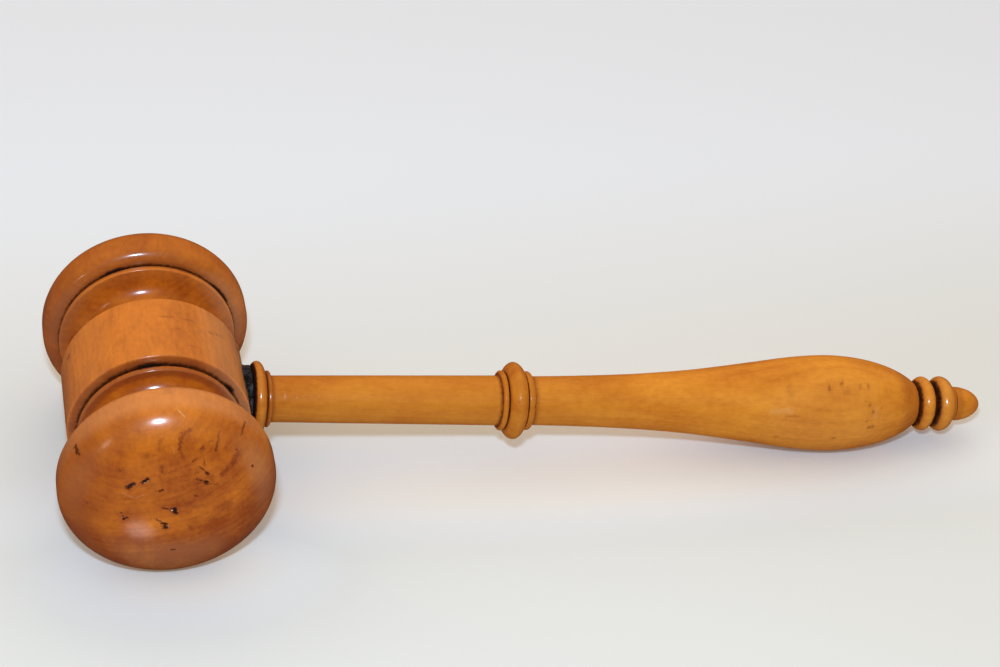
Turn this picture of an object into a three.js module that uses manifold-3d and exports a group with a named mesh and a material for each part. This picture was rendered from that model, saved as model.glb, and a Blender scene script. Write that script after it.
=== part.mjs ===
// Turned boxwood gavel, lying at rest on a table. Millimetres, +Z up.
// Two turned pieces and the old glue between them: the head, a stout mallet with a
// plain barrel, two deep coves and two domed knobs, and the handle, whose hidden
// tenon is glued into a blind mortise in the middle of the barrel.
// The head's axis lies along Y and the handle points along +X. The gavel stands on
// the rims of both knobs and on the swell of the grip, so the handle slopes down.
// The origin is under the middle of the whole gavel, on the table.

import * as THREE from 'three';
import { mergeVertices } from 'three/addons/utils/BufferGeometryUtils.js';
import Module from 'manifold-3d';

// Barrel, the plain middle of the head
const BARREL_LENGTH = 23.7;
const BARREL_RADIUS = 23.3;
const BARREL_EDGE_ROUND = 0.5;

// Between the barrel and each knob: a cut groove, a thin fillet, a deep cove,
// a second fillet and a second cut groove
const INNER_GROOVE_WIDTH = 0.9;
const INNER_GROOVE_RADIUS = 19.7;
const INNER_FILLET_WIDTH = 1.85;
const INNER_FILLET_RADIUS = 20.9;
const COVE_WIDTH = 9.8;
const COVE_EDGE_RADIUS = 20.2;
const COVE_WAIST_RADIUS = 15.1;
const OUTER_FILLET_WIDTH = 1.7;
const OUTER_FILLET_RADIUS = 23.0;
const OUTER_GROOVE_WIDTH = 0.5;
const OUTER_GROOVE_RADIUS = 22.1;
const FILLET_EDGE_ROUND = 0.4;

// Knobs at the two ends of the head, each with a domed striking face
const KNOB_ROOT_RADIUS = 23.5;
const KNOB_RIM_RADIUS = 27.0;
const KNOB_SHOULDER_LENGTH = 3.5;
const KNOB_RIM_WIDTH = 2.8;
const DOME_HEIGHT = 11.9;
const FACE_FLAT_RADIUS = 3.0;

// Tenon of the handle and its blind mortise in the barrel
const TENON_RADIUS = 5.5;
const TENON_LENGTH = 20.0;
const TENON_END_ROUND = 0.8;
const MORTISE_END_ROOM = 1.5;
const TENON_CLEARANCE = 0.3;
const CUT_OVERRUN = 1.0;

// Old glue squeezed out between the barrel and the collar
const GLUE_LINE = 0.2;
const GLUE_GAP = 0.3;
const GLUE_RADIUS_AT_COLLAR = 8.7;
const GLUE_RADIUS_AT_BARREL = 8.9;

// Collar, the bead and small ring beside the barrel
const COLLAR_BEAD_WIDTH = 3.7;
const COLLAR_BEAD_RADIUS = 9.85;
const COLLAR_BEAD_ROOT_RADIUS = 7.0;
const COLLAR_RING_WIDTH = 1.3;
const COLLAR_RING_RADIUS = 7.4;

// Shaft, nearly straight
const SHAFT_LENGTH = 61.0;
const SHAFT_RADIUS_AT_COLLAR = 6.1;
const SHAFT_RADIUS_AT_KNOP = 6.65;

// Knop, the bead half way along, between two small rings
const KNOP_LEFT_RING_WIDTH = 1.5;
const KNOP_LEFT_RING_RADIUS = 8.0;
const KNOP_BEAD_WIDTH = 4.9;
const KNOP_BEAD_RADIUS = 10.3;
const KNOP_BEAD_ROOT_RADIUS = 7.6;
const KNOP_RIGHT_RING_WIDTH = 1.9;
const KNOP_RIGHT_RING_RADIUS = 7.85;
const CUT_LINE_WIDTH = 0.35;
const CUT_LINE_DEPTH = 0.7;

// Grip, which swells towards its end
const GRIP_NECK_RADIUS = 6.5;
const GRIP_SWELL_LENGTH = 83.5;
const GRIP_RADIUS = 13.1;
const GRIP_END_LENGTH = 26.0;
const GRIP_END_RADIUS = 5.9;

// Finial: two beads with deep grooves, a narrow ring and an acorn tip
const FINIAL_GROOVE_WIDTH = 0.6;
const FINIAL_GROOVE_RADIUS = 4.9;
const FIRST_BEAD_WIDTH = 4.65;
const FIRST_BEAD_RADIUS = 7.5;
const SECOND_BEAD_FRONT_WIDTH = 2.45;
const SECOND_BEAD_BACK_WIDTH = 2.75;
const SECOND_BEAD_RADIUS = 7.6;
const TIP_RING_WIDTH = 0.7;
const TIP_RING_RADIUS = 5.0;
const TIP_ROOT_RADIUS = 4.5;
const TIP_RADIUS = 4.7;
const TIP_SWELL_LENGTH = 0.6;
const TIP_LENGTH = 8.05;

// Round the head 36 facets and round the handle 24; both divide by four, so that
// corners lie on the table and at the ends of the gavel
const HEAD_FACETS = 36;
const HANDLE_FACETS = 24;
const EDGE_STEPS = 2;
const RING_STEPS = 3;
const BEAD_STEPS = 4;
const CURVE_STEPS = 6;

// How square a quarter curve is: 2 is an ellipse, more is fuller and less is leaner
const ROUND = 2;
const BEAD_FULLNESS = 1.75;
const TIP_FULLNESS = 1.9;

// Swell of the grip: shares of its length against shares of its gain in radius
const GRIP_SWELL_SHARES = [
  [0, 0],
  [0.14, 0.04],
  [0.25, 0.085],
  [0.35, 0.145],
  [0.45, 0.235],
  [0.55, 0.35],
  [0.65, 0.505],
  [0.76, 0.695],
  [0.86, 0.87],
  [0.94, 0.97],
  [1, 1],
];

const QUARTER_TURN = Math.PI / 2;

// A turned outline: points of radius against place along the axis, in order
class Outline {
  constructor(radius, along) {
    this.points = [new THREE.Vector2(radius, along)];
  }

  get end() {
    return this.points[this.points.length - 1];
  }

  lineTo(radius, along) {
    this.points.push(new THREE.Vector2(radius, along));
    return this;
  }

  stepBy(radialChange, alongChange) {
    return this.lineTo(this.end.x + radialChange, this.end.y + alongChange);
  }

  // Quarter curve that leaves across the axis and arrives along it
  crossThenAlong(radius, along, steps, fullness = ROUND) {
    const from = this.end.clone();
    for (let step = 1; step <= steps; step += 1) {
      const turn = (QUARTER_TURN * step) / steps;
      const across = Math.sin(turn) ** (ROUND / fullness);
      const onward = 1 - Math.cos(turn) ** (ROUND / fullness);
      this.lineTo(from.x + (radius - from.x) * across, from.y + (along - from.y) * onward);
    }
    return this;
  }

  // Quarter curve that leaves along the axis and arrives across it
  alongThenCross(radius, along, steps, fullness = ROUND) {
    const from = this.end.clone();
    for (let step = 1; step <= steps; step += 1) {
      const turn = (QUARTER_TURN * step) / steps;
      const onward = Math.sin(turn) ** (ROUND / fullness);
      const across = 1 - Math.cos(turn) ** (ROUND / fullness);
      this.lineTo(from.x + (radius - from.x) * across, from.y + (along - from.y) * onward);
    }
    return this;
  }

  // Half-round bead of the given width that ends at the radius it started from
  bead(radius, width, steps, fullness = ROUND) {
    const root = this.end.clone();
    this.crossThenAlong(radius, root.y + width / 2, steps, fullness);
    return this.alongThenCross(root.x, root.y + width, steps, fullness);
  }

  // Narrow V cut straight down from the surface and up to another radius
  cutLine(nextRadius) {
    const floor = Math.min(this.end.x, nextRadius) - CUT_LINE_DEPTH;
    this.lineTo(floor, this.end.y + CUT_LINE_WIDTH / 2);
    return this.lineTo(nextRadius, this.end.y + CUT_LINE_WIDTH / 2);
  }
}

// Thin raised fillet with eased corners, between two square sides
function addFillet(outline, radius, width, endRadius) {
  const start = outline.end.y;
  outline.lineTo(radius - FILLET_EDGE_ROUND, start);
  outline.crossThenAlong(radius, start + FILLET_EDGE_ROUND, EDGE_STEPS);
  outline.lineTo(radius, start + width - FILLET_EDGE_ROUND);
  outline.alongThenCross(radius - FILLET_EDGE_ROUND, start + width, EDGE_STEPS);
  return outline.lineTo(endRadius, start + width);
}

// One half of the head, from the middle of the barrel out to the striking face
function headHalfOutline() {
  const barrelEnd = BARREL_LENGTH / 2;
  const outline = new Outline(BARREL_RADIUS, barrelEnd - BARREL_EDGE_ROUND);
  outline.alongThenCross(BARREL_RADIUS - BARREL_EDGE_ROUND, barrelEnd, EDGE_STEPS);
  outline.lineTo(INNER_GROOVE_RADIUS, barrelEnd);
  outline.stepBy(0, INNER_GROOVE_WIDTH);
  addFillet(outline, INNER_FILLET_RADIUS, INNER_FILLET_WIDTH, COVE_EDGE_RADIUS);

  const waist = outline.end.y + COVE_WIDTH / 2;
  outline.crossThenAlong(COVE_WAIST_RADIUS, waist, CURVE_STEPS);
  outline.alongThenCross(COVE_EDGE_RADIUS, waist + COVE_WIDTH / 2, CURVE_STEPS);
  addFillet(outline, OUTER_FILLET_RADIUS, OUTER_FILLET_WIDTH, OUTER_GROOVE_RADIUS);
  outline.stepBy(0, OUTER_GROOVE_WIDTH);

  outline.lineTo(KNOB_ROOT_RADIUS, outline.end.y);
  outline.crossThenAlong(KNOB_RIM_RADIUS, outline.end.y + KNOB_SHOULDER_LENGTH, CURVE_STEPS);
  outline.stepBy(0, KNOB_RIM_WIDTH);
  const rim = outline.end.y;
  outline.alongThenCross(FACE_FLAT_RADIUS, rim + DOME_HEIGHT, CURVE_STEPS + EDGE_STEPS);
  return outline.lineTo(0, rim + DOME_HEIGHT).points;
}

function headOutline() {
  const half = headHalfOutline();
  const mirrored = half.map((point) => new THREE.Vector2(point.x, -point.y)).reverse();
  return [...mirrored, ...half];
}

const COLLAR_START = BARREL_RADIUS + GLUE_GAP + GLUE_LINE + GLUE_GAP;

// Grip from its neck to its widest place, a smooth curve through the swell's shares
function addGripSwell(outline) {
  const start = outline.end.y;
  const gain = GRIP_RADIUS - GRIP_NECK_RADIUS;
  const guides = GRIP_SWELL_SHARES.map(([lengthShare, gainShare]) => new THREE.Vector2(
    GRIP_NECK_RADIUS + gainShare * gain,
    start + lengthShare * GRIP_SWELL_LENGTH,
  ));
  const curve = new THREE.SplineCurve(guides);
  curve.getPoints(guides.length).slice(1).forEach((point) => outline.lineTo(point.x, point.y));
  return outline;
}

// Rounded end of the grip: part of an ellipse that stops where the finial begins
function addGripEnd(outline) {
  const widest = outline.end.y;
  const stopTurn = Math.acos(GRIP_END_RADIUS / GRIP_RADIUS);
  const fullLength = GRIP_END_LENGTH / Math.sin(stopTurn);
  for (let step = 1; step <= CURVE_STEPS; step += 1) {
    const turn = (stopTurn * step) / CURVE_STEPS;
    outline.lineTo(GRIP_RADIUS * Math.cos(turn), widest + fullLength * Math.sin(turn));
  }
  return outline;
}

// Whole handle, from the end of the tenon to the tip, along its own axis.
// Zero is where the handle's axis crosses the head's axis.
function handleOutline() {
  const tenonEnd = COLLAR_START - TENON_LENGTH;
  const outline = new Outline(0, tenonEnd);
  outline.lineTo(TENON_RADIUS - TENON_END_ROUND, tenonEnd);
  outline.lineTo(TENON_RADIUS, tenonEnd + TENON_END_ROUND);
  outline.lineTo(TENON_RADIUS, COLLAR_START);

  outline.lineTo(COLLAR_BEAD_ROOT_RADIUS, COLLAR_START);
  outline.bead(COLLAR_BEAD_RADIUS, COLLAR_BEAD_WIDTH, BEAD_STEPS);
  outline.cutLine(COLLAR_BEAD_ROOT_RADIUS);
  outline.crossThenAlong(COLLAR_RING_RADIUS, outline.end.y + COLLAR_RING_WIDTH / 2, RING_STEPS);
  outline.alongThenCross(SHAFT_RADIUS_AT_COLLAR, outline.end.y + COLLAR_RING_WIDTH / 2, RING_STEPS);
  outline.lineTo(SHAFT_RADIUS_AT_KNOP, outline.end.y + SHAFT_LENGTH);

  outline.crossThenAlong(KNOP_LEFT_RING_RADIUS, outline.end.y + KNOP_LEFT_RING_WIDTH / 2, RING_STEPS);
  outline.alongThenCross(KNOP_BEAD_ROOT_RADIUS, outline.end.y + KNOP_LEFT_RING_WIDTH / 2, RING_STEPS);
  outline.cutLine(KNOP_BEAD_ROOT_RADIUS);
  outline.bead(KNOP_BEAD_RADIUS, KNOP_BEAD_WIDTH, BEAD_STEPS, BEAD_FULLNESS);
  outline.cutLine(KNOP_BEAD_ROOT_RADIUS);
  outline.crossThenAlong(KNOP_RIGHT_RING_RADIUS, outline.end.y + KNOP_RIGHT_RING_WIDTH / 2, RING_STEPS);
  outline.alongThenCross(GRIP_NECK_RADIUS, outline.end.y + KNOP_RIGHT_RING_WIDTH / 2, RING_STEPS);

  addGripSwell(outline);
  addGripEnd(outline);

  outline.lineTo(FINIAL_GROOVE_RADIUS, outline.end.y);
  outline.stepBy(0, FINIAL_GROOVE_WIDTH);
  outline.bead(FIRST_BEAD_RADIUS, FIRST_BEAD_WIDTH, BEAD_STEPS, BEAD_FULLNESS);
  outline.stepBy(0, FINIAL_GROOVE_WIDTH);
  const peak = outline.end.y + SECOND_BEAD_FRONT_WIDTH;
  outline.crossThenAlong(SECOND_BEAD_RADIUS, peak, BEAD_STEPS, BEAD_FULLNESS);
  outline.alongThenCross(TIP_RING_RADIUS, peak + SECOND_BEAD_BACK_WIDTH, BEAD_STEPS, BEAD_FULLNESS);
  outline.stepBy(0, TIP_RING_WIDTH);
  outline.cutLine(TIP_ROOT_RADIUS);
  outline.crossThenAlong(TIP_RADIUS, outline.end.y + TIP_SWELL_LENGTH, EDGE_STEPS);
  outline.alongThenCross(0, outline.end.y + TIP_LENGTH - TIP_SWELL_LENGTH, CURVE_STEPS, TIP_FULLNESS);
  return outline.points;
}

// Slope of the handle at rest: as it comes down, the first ring of its outline to
// reach the table stops it, while the rims of the knobs stand on the table
function restTilt(points) {
  const reaching = points.filter((point) => point.length() > KNOB_RIM_RADIUS);
  const tilts = reaching.map((point) => (
    Math.asin(KNOB_RIM_RADIUS / point.length()) - Math.atan2(point.x, point.y)
  ));
  return Math.min(...tilts);
}

// Solids for cutting and joining

const wasm = await Module();
wasm.setup();

function toSolid(geometry) {
  const bare = geometry.clone();
  bare.deleteAttribute('normal');
  bare.deleteAttribute('uv');
  const merged = mergeVertices(bare);
  return new wasm.Manifold(new wasm.Mesh({
    numProp: 3,
    vertProperties: merged.attributes.position.array,
    triVerts: new Uint32Array(merged.index.array),
  }));
}

function toGeometry(solid) {
  const mesh = solid.getMesh();
  const geometry = new THREE.BufferGeometry();
  geometry.setAttribute('position', new THREE.BufferAttribute(mesh.vertProperties, mesh.numProp));
  geometry.setIndex(new THREE.BufferAttribute(mesh.triVerts, 1));
  return geometry;
}

// Turns a lathe's axis from Y to X
function alongHandle(geometry) {
  return geometry.rotateZ(-QUARTER_TURN);
}

// Solid cylinder along the handle's axis, from one place to another
function handleCylinder(radius, from, to) {
  const geometry = new THREE.CylinderGeometry(radius, radius, to - from, HANDLE_FACETS);
  return alongHandle(geometry.translate(0, (from + to) / 2, 0));
}

function buildHead(tilt) {
  const blank = new THREE.LatheGeometry(headOutline(), HEAD_FACETS, -tilt);
  const mortiseEnd = COLLAR_START - TENON_LENGTH - MORTISE_END_ROOM;
  const mortiseMouth = BARREL_RADIUS + CUT_OVERRUN;
  const mortise = handleCylinder(TENON_RADIUS + TENON_CLEARANCE, mortiseEnd, mortiseMouth);
  return toGeometry(toSolid(blank).subtract(toSolid(mortise)));
}

function buildHandle(points) {
  return alongHandle(new THREE.LatheGeometry(points, HANDLE_FACETS));
}

// The glue fills the wedge between the round barrel and the flat side of the collar
function buildGlue() {
  const inner = TENON_RADIUS + TENON_CLEARANCE;
  const face = COLLAR_START - GLUE_GAP;
  const ring = new Outline(inner, 0)
    .lineTo(GLUE_RADIUS_AT_BARREL, 0)
    .lineTo(GLUE_RADIUS_AT_BARREL, Math.sqrt(BARREL_RADIUS ** 2 - GLUE_RADIUS_AT_BARREL ** 2))
    .lineTo(GLUE_RADIUS_AT_COLLAR, face)
    .lineTo(inner, face)
    .lineTo(inner, 0);
  const blank = alongHandle(new THREE.LatheGeometry(ring.points, HANDLE_FACETS));
  const clear = BARREL_RADIUS + GLUE_GAP;
  const barrel = new THREE.CylinderGeometry(clear, clear, BARREL_LENGTH, HEAD_FACETS);
  return toGeometry(toSolid(blank).subtract(toSolid(barrel)));
}

const headFinish = new THREE.MeshStandardMaterial({ color: 0xb8692b, roughness: 0.28, metalness: 0 });
const handleFinish = new THREE.MeshStandardMaterial({ color: 0xc47d30, roughness: 0.36, metalness: 0 });
const glueFinish = new THREE.MeshStandardMaterial({ color: 0x1d1612, roughness: 0.6, metalness: 0 });

function addPiece(parent, name, geometry, finish) {
  geometry.computeVertexNormals();
  const piece = new THREE.Mesh(geometry, finish);
  piece.name = name;
  parent.add(piece);
}

function buildGavel() {
  const handlePoints = handleOutline();
  const tilt = restTilt(handlePoints);
  const gavel = new THREE.Group();
  gavel.rotation.y = tilt;
  addPiece(gavel, 'head', buildHead(tilt), headFinish);
  addPiece(gavel, 'handle', buildHandle(handlePoints), handleFinish);
  addPiece(gavel, 'joint_glue', buildGlue(), glueFinish);
  return gavel;
}

const resting = new THREE.Group();
resting.add(buildGavel());
resting.updateMatrixWorld(true);
const reach = new THREE.Box3().setFromObject(resting, true);
const middle = reach.getCenter(new THREE.Vector3());
resting.position.set(-middle.x, -middle.y, -reach.min.z);

export default resting;
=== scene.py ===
"""Looks of a turned boxwood gavel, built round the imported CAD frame.

The head and the handle are each turned from one outline, as on a lathe, and the old glue
between them is a lumpy ring. The classes hold sizes in millimetres, the scene is in metres.
"""

import logging
import math
from dataclasses import dataclass, field, replace
from enum import Enum
from typing import NamedTuple

import bpy
import numpy as np
from mathutils import Matrix, Vector, noise


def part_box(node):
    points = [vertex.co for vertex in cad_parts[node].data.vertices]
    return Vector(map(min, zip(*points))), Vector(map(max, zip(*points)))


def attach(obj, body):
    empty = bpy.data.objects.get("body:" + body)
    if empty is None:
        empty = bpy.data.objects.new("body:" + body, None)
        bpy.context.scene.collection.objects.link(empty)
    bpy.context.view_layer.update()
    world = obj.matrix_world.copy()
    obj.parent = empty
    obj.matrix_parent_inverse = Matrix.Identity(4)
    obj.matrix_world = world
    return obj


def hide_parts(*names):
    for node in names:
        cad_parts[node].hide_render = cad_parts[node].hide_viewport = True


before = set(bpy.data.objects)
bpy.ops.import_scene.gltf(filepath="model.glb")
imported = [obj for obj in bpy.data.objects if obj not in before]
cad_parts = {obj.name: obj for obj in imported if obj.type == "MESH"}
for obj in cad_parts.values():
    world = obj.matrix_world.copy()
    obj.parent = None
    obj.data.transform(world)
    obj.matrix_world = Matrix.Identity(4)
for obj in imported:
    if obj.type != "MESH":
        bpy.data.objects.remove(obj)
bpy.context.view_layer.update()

LOG = logging.getLogger("gavel")

MM = 0.001
PER_METRE = 1000.0
FULL_TURN = 2 * math.pi
QUARTER_TURN = math.pi / 2

# Lengths in millimetres: points merged after a spin, and the gap from barrel to collar.
MERGE_DISTANCE = 0.002
GLUE_ROOM = 0.8

# Degrees of arc so wide that a deposit is even all round, and the nearness of what a mark spares.
ALL_ROUND = 7200.0
OUT_OF_REACH = 1000.0

HEAD_AXIS = Vector((0.0, 1.0, 0.0))
HEAD_SIDE = Vector((0.0, 0.0, 1.0))

# Numbers kept on the vertices. Besides darkened polish, the darkening paints shade in places, and besides
# scratches, the pale number paints sheen and highlights.
GRIME = "grime"
PATINA_AND_SHADE = "patina_and_shade"
SCRATCH_AND_SHEEN = "scratch_and_sheen"
END_GRAIN = "end_grain"
POLISH = "polish"


class Way(Enum):
    """Which way a quarter curve of an outline leaves its start."""

    ACROSS = "square to the axis"
    ALONG = "along the axis"


class Station(NamedTuple):
    """One point of a turned outline, in millimetres."""

    radius: float
    along: float


def ease(shares: np.ndarray) -> np.ndarray:
    """Holds shares between 0 and 1 and eases them at both ends."""
    held = np.clip(shares, 0.0, 1.0)
    return held * held * (3 - 2 * held)


@dataclass(frozen=True)
class Deposit:
    """Old dirt, darkened polish that also paints shade, a high shine or painted sheen round one place of an
    outline.

    It reaches so tall and so wide, in millimetres, and its turn and arc, in degrees, keep it to
    one side of the piece. The fuller it is, the more of its middle has the full strength.
    """

    radius: float
    along: float
    tall: float
    wide: float
    grime: float = 0.0
    patina_and_shade: float = 0.0
    polish: float = 0.0
    painted_sheen: float = 0.0
    turn: float = 0.0
    arc: float = ALL_ROUND
    fullness: float = 1.6

    def strength(self, radius: np.ndarray, along: np.ndarray, turn: np.ndarray) -> np.ndarray:
        """How much of the deposit lies at each place.

        Args:
            radius: Distances from the axis.
            along: Places along the axis.
            turn: Angles round the axis in degrees.

        Returns:
            Shares from 0 to 1.
        """
        away = np.hypot((radius - self.radius) / self.tall, (along - self.along) / self.wide)
        round_off = ((turn - self.turn + 180) % 360 - 180) / self.arc
        return ease(self.fullness * (1 - np.hypot(away, round_off)))

    def mirrored(self) -> "Deposit":
        """The same deposit at the other end of the piece."""
        return replace(self, along=-self.along)


@dataclass(frozen=True)
class Lay:
    """How a turned piece lies in the scene: its centre, its axis and a direction square to it."""

    centre: Vector
    axis: Vector
    side: Vector

    def point(self, radius: float, along: float) -> Vector:
        """Place in the scene, in metres, of an outline's point in millimetres."""
        return self.centre + self.axis * (along * MM) + self.side * (radius * MM)

    def read(self, places: np.ndarray) -> tuple[np.ndarray, np.ndarray, np.ndarray]:
        """Where points of the scene lie on the turned piece.

        Args:
            places: Points of the scene in metres, one a row.

        Returns:
            Radius and place along the axis in millimetres, and turn round it in degrees.
        """
        offsets = (places - np.array(self.centre)) * PER_METRE
        up = offsets @ np.array(self.side)
        across = offsets @ np.array(self.axis.cross(self.side))
        return np.hypot(up, across), offsets @ np.array(self.axis), np.degrees(np.arctan2(across, up))

    def grain_turn(self) -> tuple[Vector, Vector]:
        """Rotation and shift that carry the scene to the piece's own axes.

        Returns:
            Euler angles and a shift in metres. The grain runs along Y afterwards and the
            side direction along Z.
        """
        across = self.axis.cross(self.side)
        turn = Matrix((across, self.axis, self.side))
        return Vector(turn.to_euler("XYZ")), -(turn @ self.centre)


class Outline:
    """A turned outline in millimetres, drawn from one end of the piece to the other."""

    polished_share: float = 0.8
    dirt_rise: float = 1.8
    dirt_spread: float = 1.5

    def __init__(self, radius: float, along: float) -> None:
        """Starts the outline at one point."""
        self.stations: list[Station] = [Station(radius, along)]
        self.deposits: list[Deposit] = []

    @property
    def end(self) -> Station:
        """The last station so far."""
        return self.stations[-1]

    def add(self, radius: float, along: float) -> "Outline":
        """Adds one station."""
        self.stations.append(Station(radius, along))
        return self

    def add_between(self, start: Station, end: Station, across: float, onward: float) -> None:
        """Adds a station at two shares of the way from one station to another.

        Args:
            start: The station it starts from.
            end: The station it leads to.
            across: Share of the way for the radius.
            onward: Share of the way along the axis.
        """
        self.add(
            start.radius + (end.radius - start.radius) * across,
            start.along + (end.along - start.along) * onward,
        )

    def soil(
        self, tall: float, wide: float, grime: float = 0.0, patina_and_shade: float = 0.0, polish: float = 0.0
    ) -> "Outline":
        """Leaves a deposit round the end of the outline so far.

        Args:
            tall: How far it reaches across the axis.
            wide: How far it reaches along the axis.
            grime: How dirty it is.
            patina_and_shade: How dark its polish is.
            polish: How shiny it is.

        Returns:
            The outline itself.
        """
        self.deposits.append(Deposit(*self.end, tall, wide, grime, patina_and_shade, polish))
        return self

    def line_to(self, radius: float, along: float, steps: int = 1) -> "Outline":
        """Adds a straight stretch in equal steps.

        Args:
            radius: Radius at its end.
            along: Place along the axis at its end.
            steps: How many stretches it has.

        Returns:
            The outline itself.
        """
        start = self.end
        for step in range(1, steps + 1):
            self.add_between(start, Station(radius, along), step / steps, step / steps)
        return self

    def quarter_to(
        self, radius: float, along: float, steps: int, leaves: Way, fullness: float = 2.0
    ) -> "Outline":
        """Adds a quarter curve.

        Args:
            radius: Radius at its end.
            along: Place along the axis at its end.
            steps: How many stretches it has.
            leaves: Which way it leaves its start.
            fullness: 2 is an ellipse, and more is squarer.

        Returns:
            The outline itself.
        """
        start = self.end
        for step in range(1, steps + 1):
            turn = QUARTER_TURN * step / steps
            rise = math.sin(turn) ** (2 / fullness)
            lag = 1 - max(math.cos(turn), 0.0) ** (2 / fullness)
            shares = (rise, lag) if leaves is Way.ACROSS else (lag, rise)
            self.add_between(start, Station(radius, along), *shares)
        return self

    def bead(
        self,
        radius: float,
        width: float,
        steps: int,
        fullness: float = 2.0,
        patina_and_shade: float = 0.0,
        polish: float = 1.0,
    ) -> "Outline":
        """Adds a rounded bead that ends at the radius it started from.

        Args:
            radius: Radius of its crest.
            width: Its width along the axis.
            steps: How many stretches each flank has.
            fullness: 2 is an ellipse, and less is more pointed.
            patina_and_shade: How dark its crest is.
            polish: How shiny its crest is.

        Returns:
            The outline itself.
        """
        root = self.end
        self.quarter_to(radius, root.along + width / 2, steps, Way.ACROSS, fullness)
        self.soil(radius - root.radius, width * self.polished_share, patina_and_shade=patina_and_shade, polish=polish)
        return self.quarter_to(root.radius, root.along + width, steps, Way.ALONG, fullness)

    def ring(self, radius: float, width: float, foot: float, steps: int, **crest: float) -> "Outline":
        """Adds a rounded ring, or a hollow where its radius is the smaller one.

        Args:
            radius: Radius in its middle.
            width: Its width along the axis.
            foot: Radius at its far side.
            steps: How many stretches each flank has.
            crest: What has settled in its middle, by the names that soil knows.

        Returns:
            The outline itself.
        """
        half = width / 2
        self.quarter_to(radius, self.end.along + half, steps, Way.ACROSS)
        self.soil(**crest)
        return self.quarter_to(foot, self.end.along + half, steps, Way.ALONG)

    def cut_line(self, depth: float, width: float, next_radius: float, grime: float) -> "Outline":
        """Adds a narrow V cut with dirt in it.

        Args:
            depth: Depth below the lower of its two edges.
            width: Width at the surface.
            next_radius: Radius of the far edge.
            grime: How dirty it is.

        Returns:
            The outline itself.
        """
        start = self.end
        floor = min(start.radius, next_radius) - depth
        self.line_to(floor, start.along + width / 2, steps=2)
        self.soil(depth * self.dirt_rise, width * self.dirt_spread, grime, patina_and_shade=1.0)
        return self.line_to(next_radius, start.along + width, steps=2)

    def mirrored(self) -> list[Station]:
        """The stations in mirror image, from the far end back to the middle."""
        return [station._replace(along=-station.along) for station in reversed(self.stations)]


def deselect_all() -> None:
    """Leaves object mode and selects nothing."""
    if bpy.context.mode != "OBJECT":
        bpy.ops.object.mode_set(mode="OBJECT")
    bpy.ops.object.select_all(action="DESELECT")


def make_active(piece: bpy.types.Object) -> None:
    """Selects one piece alone and makes it the active one.

    Args:
        piece: The piece.
    """
    deselect_all()
    piece.select_set(True)
    bpy.context.view_layer.objects.active = piece


def apply_place(piece: bpy.types.Object) -> None:
    """Puts the piece's place, turn and scale into its mesh."""
    make_active(piece)
    bpy.ops.object.transform_apply(location=True, rotation=True, scale=True)


def apply_modifier(piece: bpy.types.Object, modifier: bpy.types.Modifier) -> None:
    """Applies one modifier of the piece."""
    make_active(piece)
    bpy.ops.object.modifier_apply(modifier=modifier.name)


def points_of(piece: bpy.types.Object) -> np.ndarray:
    """The piece's vertices in metres, one a row.

    Args:
        piece: The piece.

    Returns:
        Places as an array of three columns.
    """
    places = np.zeros(len(piece.data.vertices) * 3)
    piece.data.vertices.foreach_get("co", places)
    return places.reshape(-1, 3)


def write_values(piece: bpy.types.Object, name: str, values: np.ndarray) -> None:
    """Keeps one number a vertex under a name that materials read."""
    layer = piece.data.attributes.get(name) or piece.data.attributes.new(name, "FLOAT", "POINT")
    layer.data.foreach_set("value", values.astype(np.float32))


def read_values(piece: bpy.types.Object, name: str) -> np.ndarray:
    """The numbers, one a vertex, that are kept under a name.

    Args:
        piece: The piece.
        name: The name.

    Returns:
        The numbers.
    """
    values = np.zeros(len(piece.data.vertices), np.float32)
    piece.data.attributes[name].data.foreach_get("value", values)
    return values


def turn_on_lathe(
    name: str, stations: list[Station], lay: Lay, facets: int, deposits: list[Deposit] | None = None
) -> bpy.types.Object:
    """Turns a solid from its outline.

    A small plane is merged to one point, the point is extruded along the outline, and the
    line is spun round the axis and closed.

    Args:
        name: Name of the piece.
        stations: The outline, which starts and ends on the axis.
        lay: Where the axis lies.
        facets: How many facets go round.
        deposits: What has settled on it, and its painted sheen and shade.

    Returns:
        The closed piece, with its deposits, painted sheen and shade among them, as numbers on its vertices.
    """
    deselect_all()
    places = [lay.point(station.radius, station.along) for station in stations]
    bpy.ops.mesh.primitive_plane_add(size=MM, location=places[0])
    piece = bpy.context.object
    piece.name = name
    piece.data.name = name
    bpy.ops.object.mode_set(mode="EDIT")
    bpy.ops.mesh.select_mode(type="VERT")
    bpy.ops.mesh.select_all(action="SELECT")
    bpy.ops.mesh.merge(type="CENTER")
    for here, onward in zip(places, places[1:]):
        bpy.ops.mesh.extrude_vertices_move(TRANSFORM_OT_translate={"value": onward - here})
    bpy.ops.mesh.select_all(action="SELECT")
    bpy.ops.mesh.spin(steps=facets, angle=FULL_TURN, center=lay.centre, axis=lay.axis)
    bpy.ops.mesh.select_all(action="SELECT")
    bpy.ops.mesh.remove_doubles(threshold=MERGE_DISTANCE * MM)
    bpy.ops.mesh.normals_make_consistent(inside=False)
    bpy.ops.object.mode_set(mode="OBJECT")
    apply_place(piece)
    paint_deposits(piece, deposits or [], lay)
    return piece


def paint_deposits(piece: bpy.types.Object, deposits: list[Deposit], lay: Lay) -> None:
    """Writes what all deposits have left to the vertices.

    Args:
        piece: The piece.
        deposits: What has settled on it, and its painted sheen and shade.
        lay: How it lies.
    """
    places = lay.read(points_of(piece))
    names = (GRIME, PATINA_AND_SHADE, POLISH, SCRATCH_AND_SHEEN)
    levels = np.zeros((len(names), len(places[0])))
    for deposit in deposits:
        amounts = (deposit.grime, deposit.patina_and_shade, deposit.polish, deposit.painted_sheen)
        levels = np.maximum(levels, np.outer(amounts, deposit.strength(*places)))
    for name, values in zip(names, levels):
        write_values(piece, name, values)


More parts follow.
